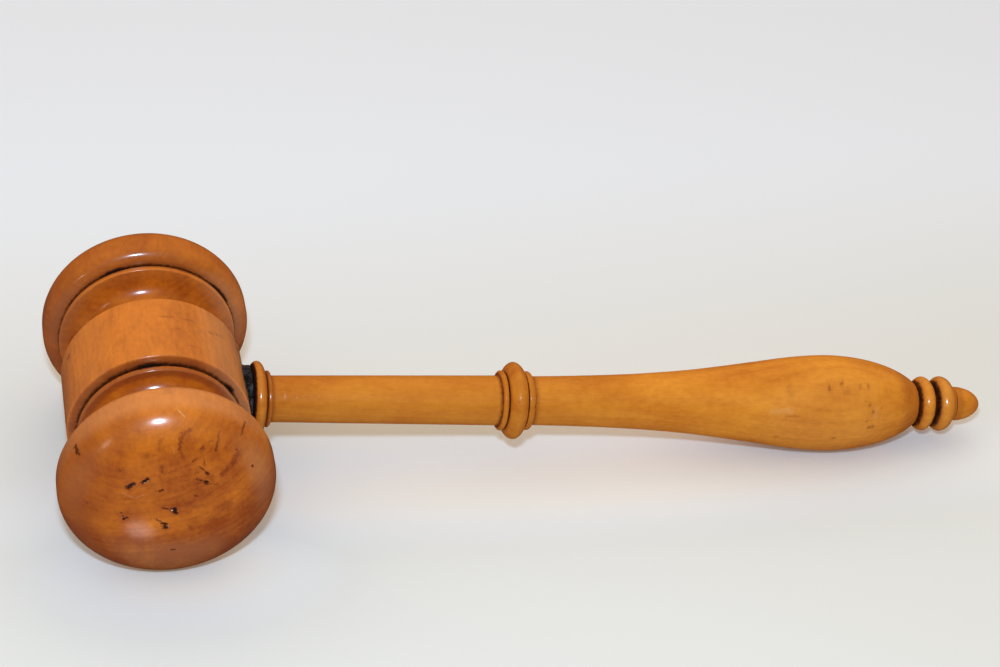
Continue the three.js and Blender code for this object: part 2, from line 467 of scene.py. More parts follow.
def cut_with(piece: bpy.types.Object, cutter: bpy.types.Object) -> None:
    """Cuts one closed piece out of another and removes the cutter.

    Args:
        piece: The piece that is cut.
        cutter: The piece that cuts it.
    """
    modifier = piece.modifiers.new("cut", "BOOLEAN")
    modifier.operation = "DIFFERENCE"
    modifier.solver = "EXACT"
    modifier.object = cutter
    apply_modifier(piece, modifier)
    bpy.data.objects.remove(cutter)


def roughen(piece: bpy.types.Object, depth: float, size: float) -> None:
    """Presses a slight unevenness into a surface, never outwards.

    Args:
        piece: The piece to change.
        depth: Deepest place, in millimetres.
        size: Width of its waves, in millimetres.
    """
    texture = bpy.data.textures.new(f"{piece.name}_unevenness", "CLOUDS")
    texture.noise_scale = size * MM
    texture.noise_depth = 2
    modifier = piece.modifiers.new("unevenness", "DISPLACE")
    modifier.texture = texture
    modifier.texture_coords = "LOCAL"
    modifier.mid_level = 1.0
    modifier.strength = depth * MM
    apply_modifier(piece, modifier)


def mark_end_grain(piece: bpy.types.Object, axis: Vector) -> None:
    """Notes on each vertex how squarely its surface cuts across the grain, from 0 to 1.

    Args:
        piece: The piece.
        axis: Direction of its grain.
    """
    normals = np.empty(len(piece.data.vertices) * 3)
    piece.data.vertex_normals.foreach_get("vector", normals)
    squareness = np.abs(normals.reshape(-1, 3) @ np.array(axis))
    write_values(piece, END_GRAIN, squareness**2)


def finish_piece(
    piece: bpy.types.Object, sharp_degrees: float, material: bpy.types.Material, node: str
) -> None:
    """Shades a shaped piece, gives it its material and lets it stand for its CAD node.

    Args:
        piece: The shaped piece.
        sharp_degrees: Edges sharper than this keep a crease.
        material: Its only material.
        node: Name of the CAD node that it replaces.
    """
    make_active(piece)
    bpy.ops.object.shade_smooth_by_angle(angle=math.radians(sharp_degrees))
    piece.data.materials.clear()
    piece.data.materials.append(material)
    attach(piece, "root")
    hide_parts(node)


def colour(red: int, green: int, blue: int) -> tuple[float, float, float, float]:
    """A screen colour, 0 to 255, as a linear colour with alpha.

    Args:
        red: Its red.
        green: Its green.
        blue: Its blue.

    Returns:
        The linear colour.
    """
    parts = [value / 255 for value in (red, green, blue)]
    linear = [p / 12.92 if p <= 0.04045 else ((p + 0.055) / 1.055) ** 2.4 for p in parts]
    return linear[0], linear[1], linear[2], 1.0


def grey(level: float) -> tuple[float, float, float, float]:
    """A linear grey with alpha."""
    return level, level, level, 1.0


Socket = bpy.types.NodeSocket
Value = Socket | float


class Ramp(NamedTuple):
    """A range of values and the range that it is eased to."""

    low: float
    high: float
    to_low: float = 0.0
    to_high: float = 1.0


class Graph:
    """Adds and joins nodes in one material, world or group."""

    def __init__(self, tree: bpy.types.NodeTree) -> None:
        """Works on one node tree."""
        self.tree = tree

    def node(self, kind: str, **settings: object) -> bpy.types.Node:
        """Adds a node of one kind and sets its properties.

        Args:
            kind: Blender's name of the kind.
            settings: Its properties by name.

        Returns:
            The node.
        """
        made = self.tree.nodes.new(kind)
        for name, setting in settings.items():
            setattr(made, name, setting)
        return made

    def feed(self, socket: Socket, value: object) -> None:
        """Links a socket to another one, or sets its value.

        Args:
            socket: An input.
            value: A socket or a plain value.
        """
        if isinstance(value, Socket):
            self.tree.links.new(value, socket)
        else:
            socket.default_value = value

    def maths(self, operation: str, *values: Value, clamp: bool = False) -> Socket:
        """Adds a Math node and returns its result.

        Args:
            operation: What it does.
            values: Its inputs in order.
            clamp: Whether the result stays from 0 to 1.

        Returns:
            The result.
        """
        made = self.node("ShaderNodeMath", operation=operation, use_clamp=clamp)
        for socket, value in zip(made.inputs, values):
            self.feed(socket, value)
        return made.outputs[0]

    def vectors(self, operation: str, *values: object) -> Socket:
        """Adds a Vector Math node and returns its result.

        Args:
            operation: What it does.
            values: Its inputs in order.

        Returns:
            The result, a vector or a length.
        """
        made = self.node("ShaderNodeVectorMath", operation=operation)
        for socket, value in zip(made.inputs, values):
            self.feed(socket, value)
        return made.outputs["Value" if operation in ("LENGTH", "DISTANCE") else "Vector"]

    def times(self, place: Socket, factor: Value) -> Socket:
        """A place scaled evenly.

        Args:
            place: A vector.
            factor: How much it grows.

        Returns:
            The scaled place.
        """
        made = self.node("ShaderNodeVectorMath", operation="SCALE")
        self.feed(made.inputs["Vector"], place)
        self.feed(made.inputs["Scale"], factor)
        return made.outputs["Vector"]

    def swing(self, mask: Socket, strength: float, middle: Value) -> Socket:
        """A value that a mask from 0 to 1 moves to both sides of a middle."""
        return self.maths("MULTIPLY_ADD", self.maths("SUBTRACT", mask, 0.5), strength, middle)

    def noise(self, place: Socket, detail: float, roughness: float = 0.5) -> bpy.types.Node:
        """Adds a noise of unit size over a place that is already scaled.

        Args:
            place: Where it is read.
            detail: How many finer noises it has.
            roughness: How strong these are.

        Returns:
            The noise node.
        """
        made = self.node("ShaderNodeTexNoise")
        self.feed(made.inputs["Vector"], place)
        self.feed(made.inputs["Scale"], 1.0)
        self.feed(made.inputs["Detail"], detail)
        self.feed(made.inputs["Roughness"], roughness)
        return made

    def remap(self, value: Value, ramp: Ramp) -> Socket:
        """Eases a value from one range to another and holds it at both ends.

        Args:
            value: The value.
            ramp: Both ranges.

        Returns:
            The eased value.
        """
        made = self.node("ShaderNodeMapRange", interpolation_type="SMOOTHSTEP")
        for name, number in zip(("From Min", "From Max", "To Min", "To Max"), ramp):
            self.feed(made.inputs[name], number)
        self.feed(made.inputs["Value"], value)
        return made.outputs["Result"]

    def mix(self, share: Value, first: object, second: object) -> Socket:
        """Mixes two colours.

        Args:
            share: How much of the second, from 0 to 1.
            first: A colour.
            second: A colour.

        Returns:
            The mixed colour.
        """
        made = self.node("ShaderNodeMix", data_type="RGBA")
        self.feed(made.inputs["Factor"], share)
        self.feed(made.inputs[6], first)
        self.feed(made.inputs[7], second)
        return made.outputs[2]

    def attribute(self, name: str) -> Socket:
        """Reads one of the numbers kept on the vertices."""
        made = self.node("ShaderNodeAttribute", attribute_name=name)
        return made.outputs["Fac"]

    def bump(self, shader: bpy.types.Node, height: Socket, strength: float, depth: float) -> None:
        """Gives a shader a slight relief of a depth in millimetres.

        Args:
            shader: The Principled shader.
            height: The relief.
            strength: How strong it is.
            depth: How deep it is.
        """
        made = self.node("ShaderNodeBump")
        made.inputs["Strength"].default_value = strength
        made.inputs["Distance"].default_value = depth * MM
        self.feed(made.inputs["Height"], height)
        self.feed(shader.inputs["Normal"], made.outputs["Normal"])

    def grain_place(self, lay: Lay) -> Socket:
        """Object coordinates turned to the piece's own axes, in millimetres.

        Args:
            lay: How the piece lies.

        Returns:
            The place in the piece.
        """
        turn, shift = lay.grain_turn()
        mapping = self.node("ShaderNodeMapping", vector_type="POINT")
        self.feed(mapping.inputs["Vector"], self.node("ShaderNodeTexCoord").outputs["Object"])
        self.feed(mapping.inputs["Rotation"], turn)
        self.feed(mapping.inputs["Location"], shift)
        return self.times(mapping.outputs["Vector"], PER_METRE)


def start_material(name: str) -> tuple[bpy.types.Material, Graph, bpy.types.Node]:
    """A new material, the graph of its nodes and its Principled shader.

    Args:
        name: Its name.

    Returns:
        All three.
    """
    made = bpy.data.materials.new(name)
    made.use_nodes = True
    return made, Graph(made.node_tree), made.node_tree.nodes["Principled BSDF"]


class EffectGroup:
    """A shader node group with named inputs and outputs, built once and used many times."""

    name = "effect"
    inputs: tuple[tuple[str, str, float], ...] = ()
    outputs: tuple[str, ...] = ()

    def tree(self) -> bpy.types.NodeTree:
        """The finished group, built the first time that it is asked for.

        Returns:
            The group's node tree.
        """
        made = bpy.data.node_groups.get(self.name)
        if made:
            return made
        made = bpy.data.node_groups.new(self.name, "ShaderNodeTree")
        for name, kind, start in self.inputs:
            socket = made.interface.new_socket(name=name, in_out="INPUT", socket_type=kind)
            if kind == "NodeSocketFloat":
                socket.default_value = start
        for name in self.outputs:
            made.interface.new_socket(name=name, in_out="OUTPUT", socket_type="NodeSocketFloat")
        graph = Graph(made)
        entry = graph.node("NodeGroupInput")
        result = graph.node("NodeGroupOutput")
        for name, socket in self.fill(graph, entry).items():
            graph.feed(result.inputs[name], socket)
        return made

    def fill(self, graph: Graph, entry: bpy.types.Node) -> dict[str, Socket]:
        """Adds the effect's own nodes; each group has its own version."""
        raise NotImplementedError

    def place_in(self, graph: Graph, **values: object) -> bpy.types.Node:
        """Places the group in a material and feeds its inputs by name.

        Args:
            graph: The material's graph.
            values: Values by input, with an underscore for each space.

        Returns:
            The group's node.
        """
        made = graph.node("ShaderNodeGroup")
        made.node_tree = self.tree()
        for name, value in values.items():
            graph.feed(made.inputs[name.replace("_", " ")], value)
        return made


@dataclass(frozen=True)
class Layer:
    """One noise of an effect: how it is drawn out, how fine it is and the range that shows."""

    stretch: tuple[float, float, float]
    detail: float
    roughness: float
    shown: Ramp
    size_input: str = ""

    def mask(self, graph: Graph, entry: bpy.types.Node) -> Socket:
        """Builds the noise in a group.

        Args:
            graph: The group's graph.
            entry: The group's input node, with the place and, where it is named, the size.

        Returns:
            A mask from 0 to 1.
        """
        place = graph.vectors("MULTIPLY", entry.outputs["Place"], self.stretch)
        if self.size_input:
            place = graph.times(place, graph.maths("DIVIDE", 1.0, entry.outputs[self.size_input]))
        made = graph.noise(place, self.detail, self.roughness)
        return graph.remap(made.outputs["Fac"], self.shown)


class WoodFigure(EffectGroup):
    """Solid wood round a pith: growth rings, fibres along the grain, clouds and flecks."""

    name = "wood_figure"
    inputs = (
        ("Place", "NodeSocketVector", 0.0),
        ("Pith", "NodeSocketVector", 0.0),
        ("Wander", "NodeSocketFloat", 3.0),
        ("Ring Width", "NodeSocketFloat", 1.4),
        ("Fibre Width", "NodeSocketFloat", 0.3),
        ("Cloud Size", "NodeSocketFloat", 9.0),
    )
    outputs = ("Reach", "Rings", "Fibre", "Clouds", "Fleck", "Mottle")
    drift_stretch: tuple[float, float, float] = (0.05, 0.016, 0.05)
    drift_detail: float = 2.0
    ring_detail: float = 2.0
    ring_range: Ramp = Ramp(0.3, 0.7)
    layers: dict[str, Layer] = {
        "Fibre": Layer((1.0, 0.045, 1.0), 2.0, 0.6, Ramp(0.25, 0.75), "Fibre Width"),
        "Clouds": Layer((1.0, 0.45, 1.0), 3.0, 0.55, Ramp(0.3, 0.7), "Cloud Size"),
        "Fleck": Layer((1.5, 0.28, 1.5), 1.0, 0.4, Ramp(0.7, 0.8)),
        "Mottle": Layer((0.9, 0.5, 0.9), 4.0, 0.65, Ramp(0.3, 0.7)),
    }

    def fill(self, graph: Graph, entry: bpy.types.Node) -> dict[str, Socket]:
        """Builds the figure from noises over the place in the wood.

        Args:
            graph: The group's graph.
            entry: The group's input node.

        Returns:
            Reach from the pith in millimetres, and masks from 0 to 1.
        """
        reach = self.reach(graph, entry)
        rings = graph.node("ShaderNodeTexNoise", noise_dimensions="1D")
        graph.feed(rings.inputs["W"], graph.maths("DIVIDE", reach, entry.outputs["Ring Width"]))
        graph.feed(rings.inputs["Scale"], 1.0)
        graph.feed(rings.inputs["Detail"], self.ring_detail)
        masks = {name: layer.mask(graph, entry) for name, layer in self.layers.items()}
        return {"Reach": reach, "Rings": graph.remap(rings.outputs["Fac"], self.ring_range), **masks}

    def reach(self, graph: Graph, entry: bpy.types.Node) -> Socket:
        """Distance from the pith, which wanders along the grain.

        Args:
            graph: The group's graph.
            entry: The group's input node.

        Returns:
            The distance in millimetres.
        """
        place = entry.outputs["Place"]
        slow = graph.vectors("MULTIPLY", place, self.drift_stretch)
        drift = graph.noise(slow, self.drift_detail).outputs["Color"]
        centred = graph.vectors("SUBTRACT", drift, (0.5, 0.5, 0.5))
        moved = graph.vectors("ADD", place, graph.times(centred, entry.outputs["Wander"]))
        from_pith = graph.vectors("SUBTRACT", moved, entry.outputs["Pith"])
        return graph.vectors("LENGTH", graph.vectors("MULTIPLY", from_pith, (1.0, 0.0, 1.0)))


class SettledGrime(EffectGroup):
    """Old dirt that has set in hollows: a thin brown film, a ragged crust and pale specks, which paint glints
    as well as grit.
    """

    name = "settled_grime"
    inputs = (
        ("Place", "NodeSocketVector", 0.0),
        ("Level", "NodeSocketFloat", 0.0),
        ("Patch Size", "NodeSocketFloat", 1.1),
    )
    outputs = ("Film", "Crust", "Specks", "Lumps")
    lump_detail: float = 4.0
    lump_roughness: float = 0.6
    raggedness: float = 0.9
    present_range: Ramp = Ramp(0.02, 0.2)
    film_range: Ramp = Ramp(0.05, 0.5)
    crust_range: Ramp = Ramp(0.42, 0.78)
    specks: Layer = Layer((3.1, 3.1, 3.1), 2.0, 0.6, Ramp(0.6, 0.7))

    def fill(self, graph: Graph, entry: bpy.types.Node) -> dict[str, Socket]:
        """Breaks up the level with noise.

        Args:
            graph: The group's graph.
            entry: The group's input node.

        Returns:
            Film, crust, specks and lumps, each from 0 to 1.
        """
        level = entry.outputs["Level"]
        patch = graph.times(entry.outputs["Place"], graph.maths("DIVIDE", 1.0, entry.outputs["Patch Size"]))
        lumps = graph.noise(patch, self.lump_detail, self.lump_roughness).outputs["Fac"]
        broken = graph.swing(lumps, self.raggedness, level)
        present = graph.remap(level, self.present_range)
        return {
            "Film": graph.maths("MULTIPLY", graph.remap(broken, self.film_range), present),
            "Crust": graph.maths("MULTIPLY", graph.remap(broken, self.crust_range), present),
            "Specks": self.specks.mask(graph, entry),
            "Lumps": lumps,
        }


@dataclass(frozen=True)
class RingTone:
    """How dark the wood is at one reach from the pith, from 0, pale, to 1, deep."""

    reach: float
    depth: float


@dataclass(frozen=True)
class WoodFinish:
    """Polished boxwood: its colours, its figure and how glossy it is."""

    name: str
    pale: tuple[int, int, int]
    deep: tuple[int, int, int]
    patina_and_shade: tuple[int, int, int]
    pith: tuple[float, float, float]
    tones: tuple[RingTone, ...]
    wander: float
    ring_width: float
    fibre_width: float
    cloud_size: float
    ring_strength: float
    fibre_strength: float
    cloud_strength: float
    fleck_strength: float
    patina_and_shade_strength: float
    end_grain_strength: float
    roughness: float
    coat: float
    coat_roughness: float
    gloss: float
    coat_ior: float = 1.65
    film: tuple[int, int, int] = (84, 32, 6)
    soot: tuple[int, int, int] = (42, 19, 9)
    ash_and_glint: tuple[int, int, int] = (76, 52, 38)
    scratch_and_sheen_colour: tuple[int, int, int] = (232, 176, 126)
    tone_span: float = 90.0
    film_cover: float = 0.85
    ash_and_glint_share: float = 0.6
    dullness_swing: float = 0.1
    dirt_dullness: float = 0.25
    relief: float = 0.05
    relief_strength: float = 0.35
    fibre_relief: float = 0.12
    dirt_relief: float = 3.0

    def material(self, lay: Lay) -> bpy.types.Material:
        """Builds the material for a piece that lies one way.

        Args:
            lay: How the piece lies, which turns the grain with it.

        Returns:
            A material that reads the piece's object coordinates and its vertex numbers.
        """
        made, graph, shader = start_material(self.name)
        place = graph.grain_place(lay)
        figure = WoodFigure().place_in(
            graph,
            Place=place,
            Pith=self.pith,
            Wander=self.wander,
            Ring_Width=self.ring_width,
            Fibre_Width=self.fibre_width,
            Cloud_Size=self.cloud_size,
        )
        grime = SettledGrime().place_in(graph, Place=place, Level=graph.attribute(GRIME))
        cover = grime.outputs["Crust"]
        film = graph.maths("MULTIPLY", grime.outputs["Film"], self.film_cover)
        base = graph.mix(film, self.clean_colour(graph, figure), colour(*self.film))
        # Pale specks in the crust: grit, and painted glints.
        ashy_and_glinting = graph.maths("MULTIPLY", grime.outputs["Specks"], self.ash_and_glint_share)
        dirt = graph.mix(ashy_and_glinting, colour(*self.soot), colour(*self.ash_and_glint))
        graph.feed(shader.inputs["Base Color"], graph.mix(cover, base, dirt))
        dull = graph.swing(figure.outputs["Mottle"], self.dullness_swing, self.roughness)
        dull = graph.maths("MULTIPLY_ADD", cover, self.dirt_dullness, dull)
        graph.feed(shader.inputs["Roughness"], dull)
        clean = graph.maths("SUBTRACT", 1.0, cover, clamp=True)
        polish = graph.mix(graph.attribute(POLISH), grey(self.coat), grey(1.0))
        graph.feed(shader.inputs["Coat Weight"], graph.maths("MULTIPLY", clean, polish))
        shader.inputs["Coat Roughness"].default_value = self.coat_roughness
        shader.inputs["Coat IOR"].default_value = self.coat_ior
        shader.inputs["Specular IOR Level"].default_value = self.gloss
        fibres = graph.maths("MULTIPLY", figure.outputs["Fibre"], self.fibre_relief)
        lumps = graph.maths("MULTIPLY", grime.outputs["Lumps"], cover)
        height = graph.maths("MULTIPLY_ADD", lumps, self.dirt_relief, fibres)
        graph.bump(shader, height, self.relief_strength, self.relief)
        return made

    def clean_colour(self, graph: Graph, figure: bpy.types.Node) -> Socket:
        """Colour of the wood before any dirt, with painted shade and painted sheen mixed in.

        Args:
            graph: The material's graph.
            figure: The wood figure group in it.

        Returns:
            The colour.
        """
        ramp = graph.node("ShaderNodeValToRGB")
        ramp.color_ramp.interpolation = "EASE"
        stops = ramp.color_ramp.elements
        for index, tone in enumerate(self.tones):
            place = tone.reach / self.tone_span
            stop = stops[index] if index < 2 else stops.new(place)
            stop.position = place
            stop.color = grey(tone.depth)
        graph.feed(ramp.inputs["Fac"], graph.maths("DIVIDE", figure.outputs["Reach"], self.tone_span))
        end_grain = graph.attribute(END_GRAIN)
        tone = graph.maths("MULTIPLY_ADD", end_grain, self.end_grain_strength, ramp.outputs["Color"])
        for output, strength in (
            ("Rings", self.ring_strength),
            ("Clouds", self.cloud_strength),
            ("Mottle", self.cloud_strength / 2),
            ("Fibre", self.fibre_strength),
        ):
            tone = graph.swing(figure.outputs[output], strength, tone)
        tone = graph.maths("MAXIMUM", graph.maths("MINIMUM", tone, 1.0), 0.0)
        base = graph.mix(tone, colour(*self.pale), colour(*self.deep))
        fleck = graph.maths("MULTIPLY", figure.outputs["Fleck"], self.fleck_strength)
        base = graph.mix(fleck, base, colour(*self.patina_and_shade))
        # Darkened polish that also paints shade, and pale scratches that also paint sheen and highlights.
        aged_and_shaded = graph.maths("MULTIPLY", graph.attribute(PATINA_AND_SHADE), self.patina_and_shade_strength)
        base = graph.mix(aged_and_shaded, base, colour(*self.patina_and_shade))
        return graph.mix(graph.attribute(SCRATCH_AND_SHEEN), base, colour(*self.scratch_and_sheen_colour))


@dataclass(frozen=True)
class GlueFinish:
    """Hardened, dirty glue: nearly black, with grey specks and patches of grit that also paint glints and
    sheen.
    """

    name: str = "old_glue"
    body: tuple[int, int, int] = (11, 8, 8)
    dust_and_glint: tuple[int, int, int] = (112, 104, 112)
    roughness: float = 0.4
    gloss: float = 0.25
    dust_and_sheen_level: float = 0.5
    dust_and_sheen_patch: float = 1.3
    crust_share: float = 0.5
    speck_share: float = 0.7
    speck_dullness: float = 0.3
    relief: float = 0.12
    relief_strength: float = 0.5

    def material(self, lay: Lay) -> bpy.types.Material:
        """Builds the material.

        Args:
            lay: How the piece lies.

        Returns:
            A material that reads the piece's object coordinates.
        """
        made, graph, shader = start_material(self.name)
        place = graph.grain_place(lay)
        grime = SettledGrime().place_in(graph, Place=place, Level=self.dust_and_sheen_level, Patch_Size=self.dust_and_sheen_patch)
        specks = grime.outputs["Specks"]
        # Grey patches and specks: grit, and painted glints and sheen.
        dusty_and_sheen = graph.maths("MULTIPLY", grime.outputs["Crust"], self.crust_share)
        speckled = graph.maths("MULTIPLY", specks, self.speck_share)
        base = graph.mix(graph.maths("MAXIMUM", dusty_and_sheen, speckled), colour(*self.body), colour(*self.dust_and_glint))
        graph.feed(shader.inputs["Base Color"], base)
        dull = graph.maths("MULTIPLY_ADD", specks, self.speck_dullness, self.roughness)
        graph.feed(shader.inputs["Roughness"], dull)
        shader.inputs["Specular IOR Level"].default_value = self.gloss
        graph.bump(shader, grime.outputs["Lumps"], self.relief_strength, self.relief)
        return made


HEAD_WOOD = WoodFinish(
    name="head_boxwood",
    pale=(227, 124, 22),
    deep=(158, 67, 5),
    patina_and_shade=(131, 48, 8),
    # The pith lies above the head, so these tones make it lighter at the top and darker towards the bottom
    # and sides: wood tone and painted shade.
    pith=(-12.0, 0.0, 49.6),
    tones=(
        RingTone(0.0, 0.22),
        RingTone(90.0, 0.6),
        RingTone(34.0, 0.24),
        RingTone(44.0, 0.3),
        RingTone(49.5, 0.38),
        RingTone(52.7, 0.06),
        RingTone(56.0, 0.22),
        RingTone(59.0, 0.5),
        RingTone(68.0, 0.56),
    ),
    wander=2.5,
    ring_width=1.5,
    fibre_width=0.34,
    cloud_size=9.0,
    ring_strength=0.13,
    fibre_strength=0.06,
    cloud_strength=0.44,
    fleck_strength=0.25,
    patina_and_shade_strength=0.7,
    end_grain_strength=0.4,
    roughness=0.45,
    coat=0.75,
    coat_roughness=0.18,
    gloss=0.12,
)

HANDLE_WOOD = WoodFinish(
    name="handle_boxwood",
    pale=(243, 157, 49),
    deep=(192, 100, 17),
    patina_and_shade=(140, 58, 12),
    pith=(30.0, 0.0, 46.0),
    tones=(RingTone(0.0, 0.4), RingTone(90.0, 0.5)),
    wander=6.0,
    ring_width=1.7,
    fibre_width=0.3,
    cloud_size=11.0,
    ring_strength=0.14,
    fibre_strength=0.12,
    cloud_strength=0.4,
    fleck_strength=0.2,
    patina_and_shade_strength=0.7,
    end_grain_strength=0.3,
    roughness=0.46,
    coat=0.12,
    coat_roughness=0.2,
    gloss=0.12,
)


@dataclass(frozen=True)
class Mark:
    """A dent, scratched line, stain or painted highlight, in millimetres as seen along the head's axis.

    It lies on the front face, or where its place along the axis says.
    """

    across: float
    up: float
    length: float
    width: float
    slope: float
    depth: float
    grime: float
    scratch_and_sheen: float = 0.0
    stain: float = 0.0
    along: float = -40.5
    reach_along: float = 6.2

    def nearness(self, places: np.ndarray) -> np.ndarray:
        """How far inside the mark each place is.

        Args:
            places: Places in millimetres from the middle of the head, one a row.

        Returns:
            0 at the middle line of the mark, 1 at its ragged edge and more outside it.
        """
        turn = math.radians(self.slope)
        across = places[:, 0] - self.across
        up = places[:, 2] - self.up
        forward = across * math.cos(turn) + up * math.sin(turn)
        sideways = up * math.cos(turn) - across * math.sin(turn)
        beyond = np.maximum(np.abs(forward) - max(self.length - self.width, 0.0) / 2, 0.0)
        far = np.abs(places[:, 1] - self.along) > self.reach_along
        return np.hypot(beyond, sideways) / (self.width / 2) + far * OUT_OF_REACH


HEAD_MARKS = (
    Mark(-9.9, 8.9, 2.7, 0.95, 46, 0.3, 1.0),
    Mark(-6.4, 10.4, 2.3, 0.85, 39, 0.28, 1.0),
    Mark(-11.2, -1.0, 1.6, 0.65, 30, 0.22, 1.0),
    Mark(-11.7, -0.3, 0.5, 0.4, 60, 0.1, 0.9),
    Mark(-1.4, 2.0, 2.2, 0.45, -19, 0.14, 0.85),
    Mark(0.5, 1.6, 1.7, 1.0, -10, 0.3, 1.0),
    Mark(0.9, 0.7, 1.9, 1.1, -68, 0.32, 1.0),
    Mark(-3.0, -1.9, 2.0, 0.4, -33, 0.12, 0.8),
    Mark(-1.7, -3.0, 1.7, 0.8, -20, 0.26, 1.0),
    Mark(-1.4, -4.0, 1.7, 1.1, -70, 0.3, 1.0),
    Mark(6.9, 9.7, 2.7, 0.55, -28, 0.12, 0.75),
    Mark(8.2, 8.9, 1.5, 0.95, -26, 0.24, 1.0),
    Mark(10.0, 8.1, 3.2, 0.35, -22, 0.06, 0.55),
    Mark(7.6, 12.4, 3.0, 0.5, -45, 0.1, 0.65),
    Mark(8.6, 11.3, 1.3, 0.7, -50, 0.16, 0.85),
    Mark(7.9, 14.2, 2.2, 0.35, -85, 0.08, 0.6),
    Mark(6.2, 11.9, 1.6, 0.35, 10, 0.06, 0.5),
    Mark(-2.5, 7.6, 1.2, 0.6, 20, 0.16, 0.95),
    Mark(-3.6, 7.5, 0.9, 0.35, 10, 0.08, 0.5),
    Mark(5.9, 5.2, 1.3, 0.5, -29, 0.1, 0.75),
    Mark(4.9, 6.0, 0.8, 0.3, -29, 0.06, 0.5),
    Mark(0.7, -12.6, 1.2, 0.6, 9, 0.14, 0.95),
    Mark(20.0, 9.9, 0.9, 0.55, -76, 0.12, 0.95),
    Mark(18.0, 19.0, 2.7, 0.75, 52, 0.1, 0.7, stain=0.6),
    Mark(15.4, 20.9, 2.0, 0.4, -12, 0.05, 0.4, stain=0.4),
    Mark(23.2, 11.6, 3.2, 0.3, 22, 0.03, 0.45, stain=0.4),
    Mark(11.4, 19.2, 3.2, 0.45, 74, 0.08, 0.65),
    Mark(10.9, 17.2, 1.5, 0.7, 60, 0.1, 0.75),
    Mark(9.7, 19.0, 1.5, 0.4, -5, 0.05, 0.5),
    Mark(8.9, 18.0, 1.2, 0.35, 12, 0.04, 0.45),
    Mark(5.6, 15.4, 1.6, 0.45, 35, 0.06, 0.65),
    Mark(7.4, 18.0, 1.5, 0.7, 40, 0.05, 0.6, stain=0.4),
    Mark(7.2, 17.0, 1.2, 0.5, -20, 0.05, 0.5),
    Mark(4.4, 12.8, 1.0, 0.4, 20, 0.04, 0.4),
    Mark(-22.2, 14.4, 2.2, 1.3, -50, 0.16, 0.9, stain=0.6),
    Mark(-22.6, 16.4, 3.2, 1.8, 70, 0.0, 0.35, stain=0.9),
    Mark(-20.2, 2.2, 1.6, 0.8, -34, 0.05, 0.55),
    Mark(2.6, 25.4, 2.4, 0.22, -38, 0.03, 0.0, scratch_and_sheen=0.6),
    Mark(-10.4, 6.2, 3.6, 0.25, -26, 0.03, 0.0, scratch_and_sheen=0.22),
    Mark(-7.6, 6.1, 2.2, 0.25, 28, 0.03, 0.0, scratch_and_sheen=0.22),
    Mark(-9.4, 4.9, 4.0, 0.3, -14, 0.02, 0.0, stain=0.3),
    Mark(0.4, 18.2, 2.0, 0.25, -80, 0.02, 0.0, scratch_and_sheen=0.15),
    Mark(-12.1, 0.7, 0.5, 0.4, 0, 0.05, 0.85),
    Mark(15.9, 15.5, 0.6, 0.45, -49, 0.05, 0.8),
    Mark(15.3, 14.2, 0.5, 0.35, 20, 0.03, 0.6),
    Mark(3.0, 10.1, 1.6, 0.4, -6, 0.04, 0.55),
    Mark(-12.4, 12.9, 1.1, 0.5, -45, 0.04, 0.55),
    Mark(-9.6, 12.2, 0.6, 0.3, 30, 0.02, 0.4),
    Mark(-8.9, -8.4, 0.5, 0.35, 0, 0.02, 0.5),
    Mark(4.0, -3.9, 0.5, 0.35, 0, 0.02, 0.5),
    Mark(3.9, 22.0, 2.4, 1.0, 19, 0.03, 0.0, stain=0.55),
    Mark(2.6, 20.9, 2.2, 1.2, 60, 0.03, 0.15, stain=0.7),
    Mark(2.1, 19.1, 2.8, 1.3, 84, 0.03, 0.2, stain=0.8),
    Mark(2.5, 17.0, 2.5, 1.1, -66, 0.03, 0.1, stain=0.6),
    Mark(4.0, 19.6, 4.6, 3.4, -80, 0.0, 0.0, stain=0.3),
    Mark(15.6, 13.4, 4.2, 1.7, 52, 0.0, 0.0, stain=0.75),
    Mark(13.0, 11.0, 3.4, 1.5, 42, 0.0, 0.0, stain=0.75),
    Mark(-5.9, 16.9, 1.6, 1.2, 20, 0.0, 0.46, stain=0.5),
    Mark(-2.8, 19.4, 3.0, 0.9, 72, 0.0, 0.36, stain=0.4),
    Mark(-4.0, 17.2, 1.4, 0.9, 40, 0.0, 0.34, stain=0.4),
    Mark(-2.4, 13.6, 2.2, 1.0, -80, 0.0, 0.5, stain=0.6),
    Mark(7.6, 17.6, 1.6, 1.0, 30, 0.0, 0.5, stain=0.55),
    Mark(9.2, 10.4, 3.4, 1.6, -60, 0.0, 0.3, stain=0.5),
    Mark(6.4, 8.9, 1.6, 0.8, 20, 0.0, 0.46, stain=0.5),
    Mark(-2.8, 11.2, 1.8, 0.8, -85, 0.0, 0.3, stain=0.4),
    Mark(-19.8, 2.6, 3.6, 1.4, -30, 0.0, 0.0, stain=0.5),
    Mark(13.1, 1.0, 4.5, 3.0, -30, 0.0, 0.0, stain=0.4),
    Mark(4.8, -5.0, 2.6, 1.2, -70, 0.0, 0.0, stain=0.45),
    Mark(4.9, 2.6, 3.0, 1.6, -40, 0.0, 0.0, stain=0.35),
    Mark(0.0, 26.8, 1.9, 1.5, 0, 0.0, 0.3, stain=0.3, along=-30.4, reach_along=1.2),
    Mark(-25.6, 7.4, 1.6, 0.8, 80, 0.12, 0.5, stain=0.6, along=28.2, reach_along=1.4),
    Mark(-25.9, 9.2, 1.0, 0.6, 60, 0.05, 0.45, stain=0.4, along=28.2, reach_along=1.4),
)

